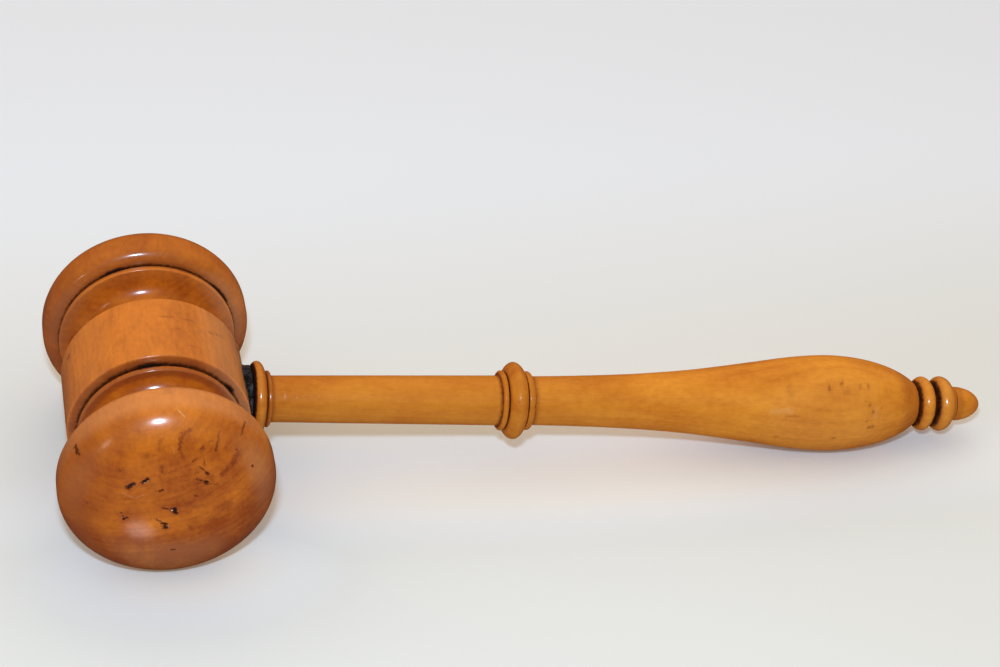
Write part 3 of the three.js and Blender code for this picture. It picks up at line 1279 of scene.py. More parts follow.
HANDLE_MARKS = tuple(
    replace(mark, along=-7.0, reach_along=7.0)
    for mark in (
        Mark(191.6, -7.1, 1.0, 0.9, 20, 0.05, 0.5, stain=0.8),
        Mark(192.6, -8.8, 1.0, 0.9, -30, 0.05, 0.55, stain=0.8),
        Mark(192.3, -13.0, 2.2, 1.0, 5, 0.04, 0.45, stain=0.8),
        Mark(190.9, -11.1, 1.0, 0.9, -60, 0.0, 0.0, stain=0.6),
        Mark(195.1, -8.3, 0.7, 0.6, 0, 0.0, 0.0, stain=0.5),
        Mark(191.7, -3.5, 0.8, 0.7, 10, 0.03, 0.3, stain=0.7),
        Mark(189.3, -3.3, 1.0, 0.8, 0, 0.0, 0.0, stain=0.5),
        Mark(184.0, -2.2, 1.1, 0.8, 10, 0.03, 0.3, stain=0.8),
        Mark(180.2, -2.7, 1.0, 0.9, -20, 0.03, 0.4, stain=0.9),
        Mark(184.9, -3.5, 2.2, 1.2, 0, 0.0, 0.0, stain=0.35),
        Mark(169.2, -3.1, 2.2, 2.0, -40, 0.0, 0.0, stain=0.3),
        Mark(169.7, -8.5, 4.4, 0.6, 2, 0.02, 0.1, stain=0.5),
        Mark(182.0, -15.5, 1.2, 0.9, 0, 0.04, 0.4, stain=0.8),
        Mark(166.0, -15.4, 1.6, 1.2, 0, 0.0, 0.0, stain=0.5),
        Mark(190.5, -6.0, 0.6, 0.5, 0, 0.0, 0.0, stain=0.5),
        # Painted highlights: pale streaks on the swell.
        Mark(166.6, -7.2, 6.5, 1.7, 3, 0.0, 0.0, scratch_and_sheen=0.24),
        Mark(193.3, -9.2, 3.4, 1.7, 80, 0.0, 0.0, scratch_and_sheen=0.2),
        Mark(35.2, 2.8, 5.0, 1.2, -6, 0.0, 0.0, stain=0.3),
        Mark(33.2, 3.1, 1.4, 1.0, -30, 0.0, 0.2, stain=0.5),
        Mark(37.6, 2.4, 1.6, 1.0, -10, 0.0, 0.1, stain=0.45),
        Mark(42.0, 2.7, 7.0, 1.2, -4, 0.0, 0.0, stain=0.25),
        Mark(45.4, 2.1, 2.0, 1.1, 0, 0.0, 0.0, stain=0.3),
        Mark(53.9, -2.6, 1.6, 1.1, 0, 0.0, 0.0, stain=0.3),
        Mark(66.0, -2.1, 2.6, 1.4, 0, 0.0, 0.0, stain=0.26),
        Mark(69.5, -3.1, 3.0, 1.4, -5, 0.0, 0.0, stain=0.26),
        Mark(58.5, -5.5, 5.0, 1.2, -4, 0.0, 0.0, stain=0.28),
        Mark(33.8, -3.3, 2.4, 1.1, 0, 0.0, 0.0, stain=0.28),
        # Painted highlights: small pale streaks on the shaft.
        Mark(32.8, 1.8, 1.0, 0.5, 80, 0.0, 0.0, scratch_and_sheen=0.4),
        Mark(35.9, 1.6, 0.8, 0.4, 80, 0.0, 0.0, scratch_and_sheen=0.2),
        Mark(94.2, -1.1, 0.9, 0.8, 0, 0.03, 0.2, stain=0.8),
        Mark(99.3, -4.1, 1.8, 1.1, 90, 0.0, 0.6, stain=1.0),
        Mark(104.2, -1.5, 2.4, 1.2, 0, 0.0, 0.0, stain=0.25),
    )
)


@dataclass(frozen=True)
class Wear:
    """The marks of one piece, how finely they are pressed in and how far they spread.

    The edge and the margin are in millimetres, and reaches and fades are shares of a mark's half
    width. Each ripple of its ragged outline is a fineness and a strength.
    """

    marks: tuple[Mark, ...]
    centre: Vector
    edge: float = 0.16
    margin: float = 1.0
    rounds: int = 3
    dirt_share: float = 0.68
    stain_share: float = 1.0
    halo_share: float = 0.75
    mark_reach: float = 1.6
    mark_fade: float = 1.5
    halo_reach: float = 2.3
    halo_fade: float = 1.6
    ripples: tuple[tuple[float, float], ...] = ((1.9, 0.9), (4.1, 0.25))
    farthest: float = 2.5

    def apply(self, piece: bpy.types.Object) -> None:
        """Refines the piece under its marks and presses them in.

        Args:
            piece: The piece to change.
        """
        self.refine(piece)
        for mark in self.marks:
            self.press(piece, mark)

    def offsets(self, piece: bpy.types.Object) -> np.ndarray:
        """The piece's vertices in millimetres from the middle of the head."""
        return (points_of(piece) - np.array(self.centre)) * PER_METRE

    def refine(self, piece: bpy.types.Object) -> None:
        """Subdivides the surface under the marks until its edges are short there.

        Args:
            piece: The piece to change.
        """
        mesh = piece.data
        for _ in range(self.rounds):
            make_active(piece)
            places = self.offsets(piece)
            near = np.zeros(len(places), bool)
            for mark in self.marks:
                near |= mark.nearness(places) < 1.0 + self.margin / mark.width
            bpy.ops.object.mode_set(mode="EDIT")
            bpy.ops.mesh.select_mode(type="EDGE")
            bpy.ops.mesh.select_all(action="DESELECT")
            bpy.ops.object.mode_set(mode="OBJECT")
            for edge in mesh.edges:
                first, second = edge.vertices
                length = np.linalg.norm(places[first] - places[second])
                edge.select = bool(length > self.edge and (near[first] or near[second]))
            bpy.ops.object.mode_set(mode="EDIT")
            bpy.ops.mesh.subdivide(number_cuts=1, smoothness=0.0)
            bpy.ops.mesh.select_mode(type="VERT")
            bpy.ops.object.mode_set(mode="OBJECT")

    def press(self, piece: bpy.types.Object, mark: Mark) -> None:
        """Presses one mark in, towards the back, and gives it its dirt.

        Args:
            piece: The piece to change.
            mark: The mark.
        """
        mesh = piece.data
        places = points_of(piece)
        offsets = self.offsets(piece)
        nearness = mark.nearness(offsets)
        close = np.flatnonzero(nearness < self.farthest)
        ragged = np.array([
            sum(noise.noise(Vector(offsets[index]) * fine) * strong for fine, strong in self.ripples)
            for index in close
        ])
        eased = ease((self.mark_reach - nearness[close] + ragged) / self.mark_fade)
        halo = np.clip((self.halo_reach - nearness[close] + ragged) / self.halo_fade, 0.0, 1.0)
        halo = halo * mark.grime * self.halo_share
        places[close] += np.outer(eased * mark.depth * MM, np.array(HEAD_AXIS))
        mesh.vertices.foreach_set("co", places.ravel())
        dirt = mark.grime**2 * self.dirt_share
        stain = np.maximum(eased * mark.stain * self.stain_share, halo)
        for name, strengths in ((GRIME, eased * dirt), (SCRATCH_AND_SHEEN, eased * mark.scratch_and_sheen), (PATINA_AND_SHADE, stain)):
            values = read_values(piece, name)
            values[close] = np.maximum(values[close], strengths)
            write_values(piece, name, values)
        mesh.update()


@dataclass
class Head:
    """The turned head: barrel, grooves, fillets, coves and two domed knobs."""

    lay: Lay
    barrel_length: float = 23.7
    barrel_radius: float = 23.3
    barrel_edge_round: float = 0.5
    inner_groove_width: float = 0.9
    inner_groove_radius: float = 19.7
    inner_fillet_width: float = 1.85
    inner_fillet_radius: float = 20.9
    cove_width: float = 9.8
    cove_edge_radius: float = 20.2
    cove_waist_radius: float = 15.1
    outer_fillet_width: float = 1.7
    outer_fillet_radius: float = 23.0
    outer_groove_width: float = 0.5
    outer_groove_radius: float = 22.1
    fillet_edge_round: float = 0.4
    knob_root_radius: float = 23.5
    knob_rim_radius: float = 27.0
    knob_shoulder_length: float = 3.5
    knob_rim_width: float = 2.8
    dome_height: float = 11.9
    face_flat_radius: float = 3.0
    mortise_radius: float = 5.8
    mortise_start: float = 2.6
    mortise_overshoot: float = 1.0
    mortise_facets: int = 64
    facets: int = 160
    unevenness: float = 0.05
    unevenness_size: float = 9.0
    sharp_degrees: float = 38.0
    stain_share: float = 1.5
    marks: tuple[Mark, ...] = HEAD_MARKS
    piece: bpy.types.Object = field(init=False)

    def build(self) -> bpy.types.Object:
        """Turns the head, bores its mortise and gives it its wear.

        Returns:
            The finished piece.
        """
        half = self.half_outline()
        stations = half.mirrored() + half.stations
        self.piece = turn_on_lathe("head_turned", stations, self.lay, self.facets, self.deposits(half))
        cut_with(self.piece, self.mortise())
        Wear(self.marks, self.lay.centre, stain_share=self.stain_share).apply(self.piece)
        roughen(self.piece, self.unevenness, self.unevenness_size)
        mark_end_grain(self.piece, self.lay.axis)
        finish_piece(self.piece, self.sharp_degrees, HEAD_WOOD.material(self.lay), "head")
        return self.piece

    def half_outline(self) -> Outline:
        """Outline of one half, from the middle of the barrel to the face.

        Returns:
            The outline with its deposits.
        """
        outline = Outline(self.barrel_radius, 0.0)
        end = self.barrel_length / 2
        outline.line_to(self.barrel_radius, end - self.barrel_edge_round, steps=56)
        outline.quarter_to(self.barrel_radius - self.barrel_edge_round, end, steps=4, leaves=Way.ALONG)
        outline.line_to(self.inner_groove_radius, end, steps=10)
        outline.line_to(self.inner_groove_radius, end + self.inner_groove_width / 2, steps=2)
        outline.soil(tall=2.1, wide=1.7, grime=0.58, patina_and_shade=1.0).soil(tall=4.0, wide=2.4, patina_and_shade=0.85)
        outline.line_to(self.inner_groove_radius, end + self.inner_groove_width, steps=2)
        self.add_fillet(outline, self.inner_fillet_radius, self.inner_fillet_width, self.cove_edge_radius)
        outline.soil(tall=1.8, wide=2.6, patina_and_shade=0.6)

        waist = {"tall": 5.5, "wide": 6.5, "patina_and_shade": 0.15}
        outline.ring(self.cove_waist_radius, self.cove_width, self.cove_edge_radius, steps=18, **waist)
        self.add_fillet(outline, self.outer_fillet_radius, self.outer_fillet_width, self.outer_groove_radius)
        outline.line_to(self.outer_groove_radius, outline.end.along + self.outer_groove_width, steps=4)
        outline.soil(tall=1.6, wide=1.2, grime=0.5, patina_and_shade=1.0).soil(tall=3.4, wide=2.2, patina_and_shade=0.85)
        outline.line_to(self.knob_root_radius, outline.end.along, steps=3)

        shoulder = outline.end.along + self.knob_shoulder_length
        outline.quarter_to(self.knob_rim_radius, shoulder, steps=24, leaves=Way.ACROSS)
        rim = outline.end.along + self.knob_rim_width
        outline.line_to(self.knob_rim_radius, rim, steps=6)
        outline.quarter_to(self.face_flat_radius, rim + self.dome_height, steps=36, leaves=Way.ALONG)
        return outline.line_to(0.0, rim + self.dome_height, steps=6)

    def deposits(self, half: Outline) -> list[Deposit]:
        """Dirt of both halves, and on one side only clots of dirt, darkening that is darkened polish and
        painted shade, and painted sheen.

        Args:
            half: Outline of one half.

        Returns:
            All deposits of the head.
        """
        inner_groove, _, cove_edge, cove_waist, outer_groove, _ = half.deposits
        front_groove = inner_groove.mirrored()
        clots = [
            replace(outer_groove, tall=1.9, grime=0.85, turn=-22.0, arc=17.0),
            replace(outer_groove, tall=1.9, grime=0.85, turn=56.0, arc=24.0),
            replace(front_groove, tall=2.7, wide=2.2, grime=1.0, turn=56.0, arc=10.0),
            replace(front_groove, tall=2.4, wide=1.9, grime=0.85, turn=-8.0, arc=22.0),
        ]
        # Darker places: the front cove, darkened polish and painted shade; the rear knob round its shoulder
        # and more on its left; and painted shade on the left, right and bottom of the front knob.
        rear_knob = Deposit(self.knob_rim_radius, 29.5, tall=7.0, wide=8.0, patina_and_shade=0.45)
        front_knob = Deposit(self.knob_rim_radius, -36.0, tall=18.0, wide=14.0, patina_and_shade=0.85, arc=85.0)
        darkening_and_painted_shade = [
            replace(cove_waist.mirrored(), patina_and_shade=0.8),
            replace(cove_edge.mirrored(), patina_and_shade=0.9),
            rear_knob,
            replace(rear_knob, tall=12.0, wide=14.0, patina_and_shade=0.8, turn=-80.0, arc=70.0),
            replace(front_knob, turn=-95.0),
            replace(front_knob, tall=15.0, patina_and_shade=0.65, turn=105.0),
            replace(front_knob, tall=17.0, patina_and_shade=0.2, turn=180.0, arc=95.0),
        ]
        # Painted sheen: paler where the polish would reflect light, all round the barrel and more on its
        # sides, on top of the front rim and at the bottom of the front face.
        barrel = Deposit(self.barrel_radius, 0.0, tall=6.0, wide=60.0, painted_sheen=0.06)
        painted_sheen_patches = [
            barrel,
            replace(barrel, painted_sheen=0.3, turn=72.0, arc=60.0),
            replace(barrel, painted_sheen=0.12, turn=-70.0, arc=60.0),
            Deposit(self.knob_rim_radius, -31.0, tall=5.0, wide=7.0, painted_sheen=0.22, arc=110.0),
            Deposit(16.0, -42.5, tall=10.0, wide=7.0, painted_sheen=0.15, turn=180.0, arc=75.0),
        ]
        both = [*half.deposits, *(deposit.mirrored() for deposit in half.deposits)]
        return [*both, *clots, *darkening_and_painted_shade, *painted_sheen_patches, *self.barrel_scratches()]

    def barrel_scratches(self) -> list[Deposit]:
        """Dirty scratches and spots on the barrel.

        Returns:
            Their deposits.
        """
        skin = Deposit(self.barrel_radius, 0.0, tall=1.0, wide=0.5, grime=0.12, patina_and_shade=0.5)
        return [
            replace(skin, along=4.0, turn=7.0, arc=8.0),
            replace(skin, along=4.0, turn=21.5, arc=7.0),
            replace(skin, along=2.1, grime=0.24, turn=37.0, arc=5.0),
            replace(skin, along=3.1, grime=0.24, turn=42.0, arc=5.0),
            replace(skin, along=4.1, grime=0.22, turn=47.0, arc=5.0),
            replace(skin, along=-0.6, wide=0.6, turn=13.4, arc=2.4),
            replace(skin, along=-1.3, wide=0.6, turn=36.3, arc=2.4),
            replace(skin, along=-6.7, wide=0.6, turn=21.6, arc=2.4),
            replace(skin, along=7.7, wide=1.4, grime=0.4, turn=69.0, arc=3.5),
            replace(skin, along=10.5, wide=1.2, grime=0.4, turn=67.7, arc=3.5),
            replace(skin, along=7.4, wide=1.7, grime=0.24, turn=-67.6, arc=4.0),
        ]

    def add_fillet(self, outline: Outline, radius: float, width: float, end_radius: float) -> None:
        """Adds a thin raised fillet with eased corners.

        Args:
            outline: The outline so far.
            radius: Radius of the fillet.
            width: Its width along the axis.
            end_radius: Radius at the foot of its far side.
        """
        start = outline.end.along
        corner = self.fillet_edge_round
        outline.line_to(radius - corner, start, steps=3)
        outline.quarter_to(radius, start + corner, steps=4, leaves=Way.ACROSS)
        outline.line_to(radius, start + width - corner, steps=3)
        outline.quarter_to(radius - corner, start + width, steps=4, leaves=Way.ALONG)
        outline.line_to(end_radius, start + width, steps=2)

    def mortise(self) -> bpy.types.Object:
        """Cutter for the blind mortise, which runs across the grain towards the handle.

        Returns:
            The cutter.
        """
        handle_lay = Lay(self.lay.centre, HANDLE_AXIS, HANDLE_SIDE)
        mouth = self.barrel_radius + self.mortise_overshoot
        outline = Outline(0.0, self.mortise_start)
        outline.line_to(self.mortise_radius, self.mortise_start, steps=2)
        outline.line_to(self.mortise_radius, mouth, steps=4)
        outline.line_to(0.0, mouth, steps=2)
        return turn_on_lathe("mortise_cutter", outline.stations, handle_lay, self.mortise_facets)


@dataclass
class Handle:
    """The turned handle: tenon, collar, shaft, knop, swelled grip, two beads and a tip."""

    lay: Lay
    start: float
    tenon_radius: float = 5.5
    tenon_length: float = 20.0
    tenon_end_round: float = 0.8
    collar_root_radius: float = 7.0
    collar_radius: float = 9.85
    collar_width: float = 3.7
    collar_ring_width: float = 1.3
    collar_ring_radius: float = 7.4
    cut_width: float = 0.35
    cut_depth: float = 0.7
    shaft_length: float = 61.0
    shaft_radius_at_collar: float = 6.1
    shaft_radius_at_knop: float = 6.65
    knop_left_ring_width: float = 1.5
    knop_left_ring_radius: float = 8.0
    knop_width: float = 4.9
    knop_radius: float = 10.3
    knop_root_radius: float = 7.6
    knop_right_ring_width: float = 1.9
    knop_right_ring_radius: float = 7.85
    grip_neck_radius: float = 6.5
    grip_swell_length: float = 83.5
    grip_radius: float = 13.1
    grip_end_length: float = 26.0
    grip_end_radius: float = 5.9
    groove_width: float = 0.6
    groove_radius: float = 4.9
    first_bead_width: float = 4.65
    first_bead_radius: float = 7.5
    second_bead_front: float = 2.45
    second_bead_back: float = 2.75
    second_bead_radius: float = 7.6
    tip_ring_width: float = 0.7
    tip_ring_radius: float = 5.0
    tip_root_radius: float = 4.5
    tip_radius: float = 4.7
    tip_swell_length: float = 0.6
    tip_length: float = 8.05
    tip_fullness: float = 1.9
    bead_fullness: float = 1.75
    swell_steps: int = 8
    grip_end_steps: int = 40
    facets: int = 96
    unevenness: float = 0.04
    unevenness_size: float = 8.0
    sharp_degrees: float = 38.0
    mark_edge: float = 0.25
    mark_rounds: int = 2
    marks: tuple[Mark, ...] = HANDLE_MARKS
    swell_shares: tuple[tuple[float, float], ...] = (
        (0.0, 0.0),
        (0.14, 0.04),
        (0.25, 0.085),
        (0.35, 0.145),
        (0.45, 0.235),
        (0.55, 0.35),
        (0.65, 0.505),
        (0.76, 0.695),
        (0.86, 0.87),
        (0.94, 0.97),
        (1.0, 1.0),
    )
    piece: bpy.types.Object = field(init=False)

    def build(self) -> bpy.types.Object:
        """Turns the handle and gives it its wear.

        Returns:
            The finished piece.
        """
        outline = self.outline()
        self.piece = turn_on_lathe("handle_turned", outline.stations, self.lay, self.facets, outline.deposits)
        Wear(self.marks, self.lay.centre, edge=self.mark_edge, rounds=self.mark_rounds).apply(self.piece)
        roughen(self.piece, self.unevenness, self.unevenness_size)
        mark_end_grain(self.piece, self.lay.axis)
        finish_piece(self.piece, self.sharp_degrees, HANDLE_WOOD.material(self.lay), "handle")
        return self.piece

    def outline(self) -> Outline:
        """Outline of the whole handle, from the end of the tenon to the tip.

        Returns:
            The outline with its deposits.
        """
        tenon_end = self.start - self.tenon_length
        outline = Outline(0.0, tenon_end)
        outline.line_to(self.tenon_radius - self.tenon_end_round, tenon_end, steps=3)
        outline.line_to(self.tenon_radius, tenon_end + self.tenon_end_round, steps=2)
        outline.line_to(self.tenon_radius, self.start, steps=14)
        self.add_collar(outline)
        shaft_middle = outline.end.along + self.shaft_length / 2
        outline.deposits.append(
            Deposit(self.shaft_radius_at_knop, shaft_middle, tall=6.0, wide=80.0, patina_and_shade=0.34)
        )
        outline.line_to(self.shaft_radius_at_knop, outline.end.along + self.shaft_length, steps=60)
        self.add_knop(outline)
        self.add_grip(outline)
        self.add_finial(outline)
        return outline

    def add_collar(self, outline: Outline) -> None:
        """Adds the bead and the small ring beside the barrel.

        Args:
            outline: The outline so far.
        """
        outline.line_to(self.collar_root_radius, self.start, steps=4)
        flank = Deposit(8.0, self.start, tall=2.6, wide=1.3, grime=0.8, patina_and_shade=1.0)
        outline.deposits += [flank, replace(flank, radius=8.7, grime=1.0, arc=105.0)]
        outline.bead(self.collar_radius, self.collar_width, steps=14)
        outline.cut_line(self.cut_depth, self.cut_width, self.collar_root_radius, grime=0.24)
        outline.soil(tall=1.3, wide=1.0, patina_and_shade=0.9)
        crest = {"tall": 0.8, "wide": 0.7, "patina_and_shade": 0.6, "polish": 1.0}
        outline.ring(
            self.collar_ring_radius, self.collar_ring_width, self.shaft_radius_at_collar, steps=6, **crest
        )
        outline.soil(tall=0.7, wide=0.9, grime=0.14, patina_and_shade=0.9)

    def add_knop(self, outline: Outline) -> None:
        """Adds the bead half way along and the small rings on both its sides.

        Args:
            outline: The outline so far.
        """
        outline.soil(tall=1.1, wide=0.7, grime=0.3, patina_and_shade=1.0)
        crest = {"tall": 0.6, "wide": 0.9, "patina_and_shade": 0.5}
        outline.ring(
            self.knop_left_ring_radius, self.knop_left_ring_width, self.knop_root_radius, steps=8, **crest
        )
        outline.cut_line(self.cut_depth, self.cut_width, self.knop_root_radius, grime=0.56)
        outline.bead(
            self.knop_radius, self.knop_width, steps=16, fullness=self.bead_fullness, patina_and_shade=0.45, polish=0.0
        )
        outline.cut_line(self.cut_depth, self.cut_width, self.knop_root_radius, grime=0.3)
        crest = {"tall": 0.7, "wide": 1.0, "patina_and_shade": 0.55}
        outline.ring(
            self.knop_right_ring_radius, self.knop_right_ring_width, self.grip_neck_radius, steps=8, **crest
        )
        outline.soil(tall=0.8, wide=0.8, grime=0.2, patina_and_shade=0.9)

    def add_grip(self, outline: Outline) -> None:
        """Adds the swell, a smooth curve through its shares, and the rounded end.

        Args:
            outline: The outline so far.
        """
        start = outline.end.along
        gain = self.grip_radius - self.grip_neck_radius
        guides = [
            Vector((self.grip_neck_radius + gain_share * gain, start + length_share * self.grip_swell_length))
            for length_share, gain_share in self.swell_shares
        ]
        ends = [2 * guides[0] - guides[1], *guides, 2 * guides[-1] - guides[-2]]
        for before, here, onward, after in zip(ends, ends[1:], ends[2:], ends[3:]):
            for step in range(1, self.swell_steps + 1):
                share = step / self.swell_steps
                bend = (
                    2 * here
                    + (onward - before) * share
                    + (2 * before - 5 * here + 4 * onward - after) * share**2
                    + (3 * here - before - 3 * onward + after) * share**3
                ) / 2
                outline.add(bend[0], bend[1])
        widest = outline.end.along
        # Painted sheen on the upper front of the swell.
        outline.deposits.append(
            Deposit(self.grip_radius, widest - 4.0, tall=5.0, wide=30.0, painted_sheen=0.05, turn=75.0, arc=80.0)
        )
        stop = math.acos(self.grip_end_radius / self.grip_radius)
        full = self.grip_end_length / math.sin(stop)
        for step in range(1, self.grip_end_steps + 1):
            turn = stop * step / self.grip_end_steps
            outline.add(self.grip_radius * math.cos(turn), widest + full * math.sin(turn))

    def add_finial(self, outline: Outline) -> None:
        """Adds the two beads with their deep grooves, the narrow ring and the acorn tip.

        Args:
            outline: The outline so far.
        """
        outline.deposits.append(
            Deposit(self.grip_end_radius, outline.end.along - 3.5, tall=6.0, wide=6.0, patina_and_shade=0.45)
        )
        outline.line_to(self.groove_radius, outline.end.along, steps=4)
        outline.line_to(self.groove_radius, outline.end.along + self.groove_width, steps=3)
        outline.soil(tall=2.6, wide=1.3, grime=0.58, patina_and_shade=1.0).soil(tall=3.0, wide=1.9, patina_and_shade=0.7)
        full = self.bead_fullness
        outline.bead(self.first_bead_radius, self.first_bead_width, steps=14, fullness=full, polish=0.5)
        outline.line_to(self.groove_radius, outline.end.along + self.groove_width, steps=3)
        outline.soil(tall=2.8, wide=1.5, grime=0.62, patina_and_shade=1.0).soil(tall=3.2, wide=2.2, patina_and_shade=0.8)
        peak = outline.end.along + self.second_bead_front
        outline.quarter_to(self.second_bead_radius, peak, steps=14, leaves=Way.ACROSS, fullness=full)
        outline.soil(tall=2.5, wide=3.5, polish=1.0)
        end = peak + self.second_bead_back
        outline.quarter_to(self.tip_ring_radius, end, steps=14, leaves=Way.ALONG, fullness=full)
        outline.soil(tall=0.9, wide=0.8, patina_and_shade=0.8)
        outline.line_to(self.tip_ring_radius, outline.end.along + self.tip_ring_width, steps=3)
        outline.cut_line(self.cut_depth, self.cut_width, self.tip_root_radius, grime=0.42)
        swell = outline.end.along + self.tip_swell_length
        outline.quarter_to(self.tip_radius, swell, steps=6, leaves=Way.ACROSS)
        outline.soil(tall=1.5, wide=2.0, patina_and_shade=0.5)
        point = outline.end.along + (self.tip_length - self.tip_swell_length)
        outline.quarter_to(0.0, point, steps=24, leaves=Way.ALONG, fullness=self.tip_fullness)


@dataclass
class Glue:
    """The lumpy ring of old glue in the wedge between barrel and collar."""

    lay: Lay
    barrel_radius: float
    collar_start: float
    inner_radius: float = 5.8
    radius_at_collar: float = 8.9
    radius_at_barrel: float = 9.0
    bed_depth: float = 1.2
    collar_gap: float = 0.02
    skirt_height: float = 0.1
    lump_depth: float = 0.6
    lump_size: float = 1.3
    sharp_degrees: float = 50.0
    facets: int = 120
    cutter_reach: float = 12.0
    cutter_facets: int = 240
    piece: bpy.types.Object = field(init=False)

    def build(self) -> bpy.types.Object:
        """Turns the ring, fits it to the barrel and makes it lumpy.

        Returns:
            The finished piece.
        """
        bed = math.sqrt(self.barrel_radius**2 - self.radius_at_barrel**2)
        root = bed - self.bed_depth
        face = self.collar_start - self.collar_gap
        outline = Outline(self.inner_radius, root)
        outline.line_to(self.radius_at_barrel, root, steps=6)
        outline.line_to(self.radius_at_barrel, bed + self.skirt_height, steps=4)
        outline.quarter_to(self.radius_at_collar, face, steps=8, leaves=Way.ALONG)
        outline.line_to(self.inner_radius, face, steps=6)
        outline.line_to(self.inner_radius, root, steps=6)
        self.piece = turn_on_lathe("joint_glue_lumpy", outline.stations, self.lay, self.facets)
        cut_with(self.piece, self.barrel_cutter())
        roughen(self.piece, self.lump_depth, self.lump_size)
        material = GlueFinish().material(self.lay)
        finish_piece(self.piece, self.sharp_degrees, material, "joint_glue")
        return self.piece

    def barrel_cutter(self) -> bpy.types.Object:
        """Cutter of the barrel's own radius, along the head's axis.

        Returns:
            The cutter.
        """
        head_lay = Lay(self.lay.centre, HEAD_AXIS, HEAD_SIDE)
        outline = Outline(0.0, -self.cutter_reach)
        outline.line_to(self.barrel_radius, -self.cutter_reach)
        outline.line_to(self.barrel_radius, self.cutter_reach)
        outline.line_to(0.0, self.cutter_reach)
        return turn_on_lathe("barrel_cutter", outline.stations, head_lay, self.cutter_facets)


def stand(data: bpy.types.ID, place: Vector, axes: tuple[Vector, Vector, Vector]) -> bpy.types.Object:
    """Stands a camera or lamp in the scene.

    Args:
        data: The camera or lamp.
        place: Where it stands, in metres.
        axes: Directions to its right, up and behind it.

    Returns:
        The object, with the name of its data.
    """
    made = bpy.data.objects.new(data.name, data)
    made.matrix_world = Matrix.Translation(place) @ Matrix(axes).transposed().to_4x4()
    bpy.context.scene.collection.objects.link(made)
    return made


@dataclass(frozen=True)
class PhotoCamera:
    """The camera of the photograph, placed from the middle of the head."""

    image_width_px: int = 1000
    image_height_px: int = 667
    focal_px: float = 2554.3
    head_centre_px: tuple[float, float] = (155.5, 398.0)
    heading: float = -15.08
    elevation: float = 37.43
    roll: float = 6.60
    distance: float = 655.35
    sensor: float = 36.0

    def axes(self) -> tuple[Vector, Vector, Vector]:
        """Directions to the right of the picture, up it and into it.

        Returns:
            The three directions.
        """
        turn = math.radians(self.heading)
        rise = math.radians(self.elevation)
        lean = math.radians(self.roll)
        into = Vector((-math.sin(turn) * math.cos(rise), math.cos(turn) * math.cos(rise), -math.sin(rise)))
        level = Vector((math.cos(turn), math.sin(turn), 0.0))
        upright = level.cross(into)
        right = level * math.cos(lean) + upright * math.sin(lean)
        up = upright * math.cos(lean) - level * math.sin(lean)
        return right, up, into

    def place(self, head_centre: Vector) -> Vector:
        """Where the camera stands, in metres.

        Args:
            head_centre: Middle of the head, in metres.

        Returns:
            The camera's place.
        """
        right, up, into = self.axes()
        beside = (self.head_centre_px[0] - self.image_width_px / 2) / self.focal_px * self.distance
        above = (self.image_height_px / 2 - self.head_centre_px[1]) / self.focal_px * self.distance
        return head_centre - (right * beside + up * above + into * self.distance) * MM

    def build(self, head_centre: Vector) -> bpy.types.Object:
        """Makes the camera and gives it to the scene.

        Args:
            head_centre: Middle of the head, in metres.

        Returns:
            The camera.
        """
        data = bpy.data.cameras.new("photo_camera")
        data.sensor_width = self.sensor
        data.lens = self.focal_px / self.image_width_px * self.sensor
        right, up, into = self.axes()
        camera = stand(data, self.place(head_centre), (right, up, -into))
        bpy.context.scene.camera = camera
        return camera


@dataclass(frozen=True)
class Lamp:
    """One rectangular lamp, with its size in millimetres and its power in watts."""

    name: str
    place: Vector
    width: float
    height: float
    power: float
    tint: tuple[float, float, float]

    def build(self, target: Vector, up: Vector) -> bpy.types.Object:
        """Makes the lamp and points it.

        Args:
            target: Where it points, in metres.
            up: Direction that its height follows.

        Returns:
            The lamp.
        """
        data = bpy.data.lights.new(self.name, "AREA")
        data.shape = "RECTANGLE"
        data.size = self.width * MM
        data.size_y = self.height * MM
        data.energy = self.power
        data.color = self.tint
        back = (self.place - target).normalized()
        side = up.cross(back).normalized()
        return stand(data, self.place, (side, back.cross(side), back))


@dataclass(frozen=True)
class Glow:
    """A patch of painted light on the floor near the gavel, in millimetres: an ellipse drawn out along X.

    It is at its full strength up to one distance from its middle and gone at another.
    """

    across: float
    ahead: float
    squeeze: float
    full: float
    gone: float

    def strength(self, graph: Graph, coords: Socket) -> Socket:
        """How strong the patch is at each place.

        Args:
            graph: The floor's graph.
            coords: Places on the floor in metres.

        Returns:
            Shares from 0 to 1.
        """
        squeezed = graph.vectors("MULTIPLY", coords, (self.squeeze, 1.0, 1.0))
        middle = Vector((self.across * self.squeeze, self.ahead, 0.0)) * MM
        away = graph.vectors("DISTANCE", squeezed, middle)
        return graph.remap(away, Ramp(self.full * MM, self.gone * MM, 1.0, 0.0))


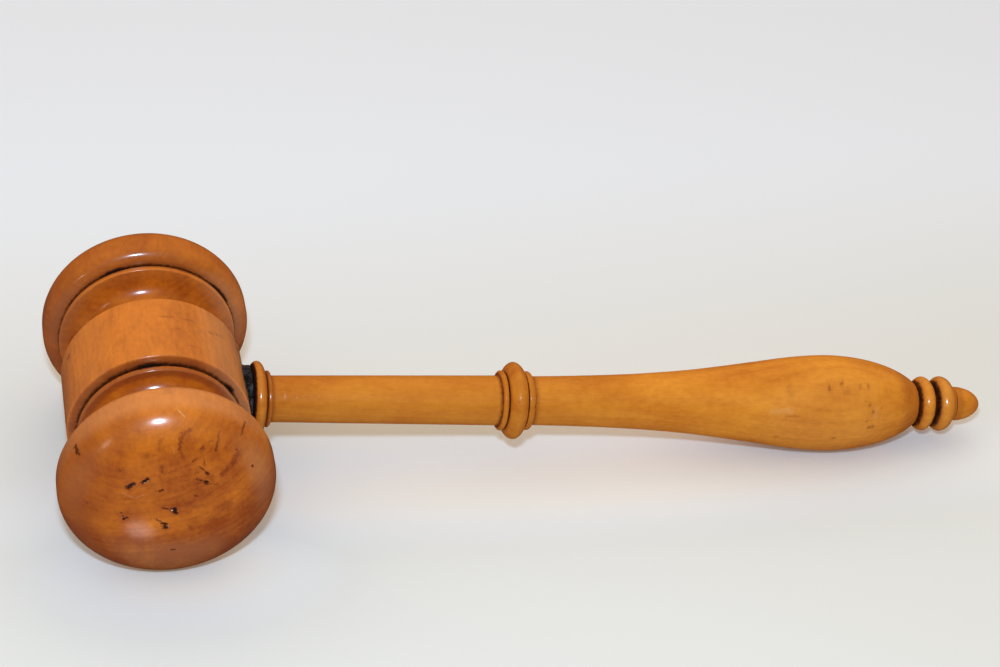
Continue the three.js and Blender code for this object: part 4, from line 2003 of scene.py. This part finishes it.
@dataclass
class Studio:
    """A plain pale floor and soft light, with one small lamp above the camera, and painted light on the floor
    near the gavel.
    """

    camera: PhotoCamera
    head_centre: Vector
    floor_radius: float = 4000.0
    floor_border: float = 300.0
    floor_facets: int = 96
    floor_roughness: float = 0.75
    floor_gloss: float = 0.2
    glow_start: float = 20.0
    glow_full: float = 150.0
    floor_colour: tuple[int, int, int] = (227, 228, 229)
    far_glow: tuple[int, int, int] = (79, 95, 124)
    # Painted light: near the gavel the floor glows to the camera and lifts the shade there.
    near_glow: tuple[int, int, int] = (106, 91, 74)
    near_glows: tuple[Glow, ...] = (
        Glow(across=15.0, ahead=-12.0, squeeze=0.12, full=4.0, gone=26.0),
        Glow(across=-95.0, ahead=-36.0, squeeze=0.6, full=6.0, gone=27.0),
    )
    # Painted reflection: the floor as reflections see it, darker, with a bright glare spot that glows only
    # there.
    mirrored_floor: tuple[int, int, int] = (84, 62, 48)
    glare_colour: tuple[int, int, int] = (255, 226, 214)
    glare_power: float = 2.6
    glare_place: tuple[float, float, float] = (-111.0, -63.0, 0.0)
    glare_radius: float = 2.0
    glare_fade: float = 9.0
    sky_colour: tuple[int, int, int] = (255, 239, 213)
    sky_strength: float = 0.86
    light_by_depth: Ramp = Ramp(-0.7, 0.8, 0.5, 1.35)
    light_by_height: Ramp = Ramp(-0.1, 0.9, 0.4, 1.18)
    mirrored_share: float = 0.13
    backdrop_strength: float = 0.95
    lamp_above_lens: float = 92.0
    lamp_left_of_lens: float = 13.0
    lamp_width: float = 44.0
    lamp_height: float = 36.0
    lamp_power: float = 2.75
    lamp_tint: tuple[float, float, float] = (0.56, 0.78, 1.0)
    lamp_target: tuple[float, float, float] = (70.0, 0.0, -15.0)
    window_heading: float = -49.0
    window_elevation: float = 17.0
    window_distance: float = 1200.0
    window_width: float = 60.0
    window_height: float = 180.0
    window_power: float = 0.3
    window_tint: tuple[float, float, float] = (1.0, 0.93, 0.86)

    def build(self) -> None:
        """Makes the floor, the surroundings and the lamps."""
        bpy.context.scene.view_settings.view_transform = "Standard"
        self.build_floor()
        self.build_world()
        right, up, _ = self.camera.axes()
        target = self.head_centre + Vector([distance * MM for distance in self.lamp_target])
        place = self.camera.place(self.head_centre)
        place = place + (up * self.lamp_above_lens - right * self.lamp_left_of_lens) * MM
        lamp = Lamp("camera_lamp", place, self.lamp_width, self.lamp_height, self.lamp_power, self.lamp_tint)
        lamp.build(target, up)
        heading = math.radians(self.window_heading)
        rise = math.radians(self.window_elevation)
        level = math.cos(rise)
        away = Vector((math.sin(heading) * level, -math.cos(heading) * level, math.sin(rise)))
        place = self.head_centre + away * (self.window_distance * MM)
        size = (self.window_width, self.window_height)
        window = Lamp("side_window", place, *size, self.window_power, self.window_tint)
        window.build(self.head_centre, Vector((0.0, 0.0, 1.0)))

    def build_floor(self) -> None:
        """Makes the floor, a wide disc with a narrow border."""
        deselect_all()
        radius = self.floor_radius * MM
        bpy.ops.mesh.primitive_circle_add(vertices=self.floor_facets, radius=radius, fill_type="NGON")
        floor = bpy.context.object
        floor.name = "floor"
        bpy.ops.object.mode_set(mode="EDIT")
        bpy.ops.mesh.select_all(action="SELECT")
        bpy.ops.mesh.inset(thickness=self.floor_border * MM, depth=0.0)
        bpy.ops.object.mode_set(mode="OBJECT")
        floor.data.materials.append(self.floor_material())

    def floor_material(self) -> bpy.types.Material:
        """Builds the pale floor, which glows softly to the camera, with painted light near the gavel, and is
        duller in reflections but for a painted glare spot.

        Returns:
            The material.
        """
        made, graph, shader = start_material("pale_floor")
        coords = graph.node("ShaderNodeTexCoord").outputs["Object"]
        apart = graph.node("ShaderNodeSeparateXYZ")
        graph.feed(apart.inputs[0], coords)
        far = graph.remap(apart.outputs["Y"], Ramp(self.glow_start * MM, self.glow_full * MM))
        near = graph.maths("MAXIMUM", *(glow.strength(graph, coords) for glow in self.near_glows))
        glare = graph.vectors("DISTANCE", coords, Vector(self.glare_place) * MM)
        unlit = graph.remap(glare, Ramp(self.glare_radius * MM, self.glare_fade * MM))
        path = graph.node("ShaderNodeLightPath")
        glossy = path.outputs["Is Glossy Ray"]
        mirrored = graph.mix(unlit, colour(*self.glare_colour), colour(*self.mirrored_floor))
        seen = graph.mix(glossy, colour(*self.floor_colour), mirrored)
        graph.feed(shader.inputs["Base Color"], seen)
        glow = graph.mix(near, colour(*self.far_glow), colour(*self.near_glow))
        shining = graph.mix(glossy, glow, colour(*self.glare_colour))
        graph.feed(shader.inputs["Emission Color"], shining)
        lit = graph.maths("MULTIPLY", graph.maths("SUBTRACT", 1.0, unlit), self.glare_power)
        lit = graph.maths("MULTIPLY", lit, glossy)
        glowing = graph.maths("ADD", far, near)
        glowing = graph.maths("MULTIPLY_ADD", glowing, path.outputs["Is Camera Ray"], lit)
        graph.feed(shader.inputs["Emission Strength"], glowing)
        shader.inputs["Roughness"].default_value = self.floor_roughness
        shader.inputs["Specular IOR Level"].default_value = self.floor_gloss
        return made

    def build_world(self) -> None:
        """Makes the surroundings: plain to the eye, brighter above and behind the gavel."""
        world = bpy.data.worlds.new("soft_room")
        bpy.context.scene.world = world
        world.use_nodes = True
        graph = Graph(world.node_tree)
        background = world.node_tree.nodes["Background"]
        towards = graph.node("ShaderNodeSeparateXYZ")
        graph.feed(towards.inputs[0], graph.node("ShaderNodeTexCoord").outputs["Generated"])
        behind = graph.remap(towards.outputs["Y"], self.light_by_depth)
        overhead = graph.remap(towards.outputs["Z"], self.light_by_height)
        lighting = graph.maths("MULTIPLY", graph.maths("MULTIPLY", behind, overhead), self.sky_strength)
        path = graph.node("ShaderNodeLightPath")
        dimming = graph.maths("MULTIPLY_ADD", path.outputs["Is Glossy Ray"], self.mirrored_share - 1.0, 1.0)
        lighting = graph.maths("MULTIPLY", lighting, dimming)
        seen = graph.maths("MAXIMUM", path.outputs["Is Camera Ray"], path.outputs["Is Transmission Ray"])
        strength = graph.node("ShaderNodeMix", data_type="FLOAT")
        graph.feed(strength.inputs[0], seen)
        graph.feed(strength.inputs[2], lighting)
        graph.feed(strength.inputs[3], self.backdrop_strength)
        graph.feed(background.inputs["Color"], colour(*self.sky_colour))
        graph.feed(background.inputs["Strength"], strength.outputs[0])


def rest_slope(outline: Outline, rim_radius: float) -> float:
    """Slope of the handle at rest.

    The rims of the knobs stand on the table, and the handle comes down until the first
    ring of its outline reaches it.

    Args:
        outline: The handle's outline, with zero at the head's axis.
        rim_radius: Radius of the knobs.

    Returns:
        The slope in radians.
    """
    reaching = [s for s in outline.stations if math.hypot(s.radius, s.along) > rim_radius]
    return min(
        math.asin(rim_radius / math.hypot(s.radius, s.along)) - math.atan2(s.radius, s.along)
        for s in reaching
    )


def head_centre_of_frame() -> Vector:
    """Middle of the head, from the CAD node's box."""
    low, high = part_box("head")
    return (low + high) / 2


HEAD_CENTRE = head_centre_of_frame()
COLLAR_START = Head.barrel_radius + GLUE_ROOM
SLOPE = rest_slope(
    Handle(Lay(HEAD_CENTRE, HEAD_AXIS, HEAD_SIDE), COLLAR_START).outline(), Head.knob_rim_radius
)
HANDLE_AXIS = Vector((math.cos(SLOPE), 0.0, -math.sin(SLOPE)))
HANDLE_SIDE = Vector((math.sin(SLOPE), 0.0, math.cos(SLOPE)))


def report(piece: bpy.types.Object) -> None:
    """Logs a finished piece's size.

    Args:
        piece: The finished piece.
    """
    places = points_of(piece)
    size = (places.max(0) - places.min(0)) * PER_METRE
    triangles = sum(len(polygon.vertices) - 2 for polygon in piece.data.polygons)
    LOG.info("%s: %s mm, %d triangles", piece.name, np.round(size, 2).tolist(), triangles)


def main() -> None:
    """Builds the gavel and its studio in order."""
    logging.basicConfig(level=logging.INFO, format="%(name)s: %(message)s")
    camera = PhotoCamera()
    camera.build(HEAD_CENTRE)
    LOG.info("slope of the handle %.3f degrees", math.degrees(SLOPE))
    handle_lay = Lay(HEAD_CENTRE, HANDLE_AXIS, HANDLE_SIDE)
    report(Head(Lay(HEAD_CENTRE, HEAD_AXIS, HEAD_SIDE)).build())
    report(Handle(handle_lay, COLLAR_START).build())
    report(Glue(handle_lay, Head.barrel_radius, COLLAR_START).build())
    Studio(camera, HEAD_CENTRE).build()


if __name__ == "__main__":
    main()
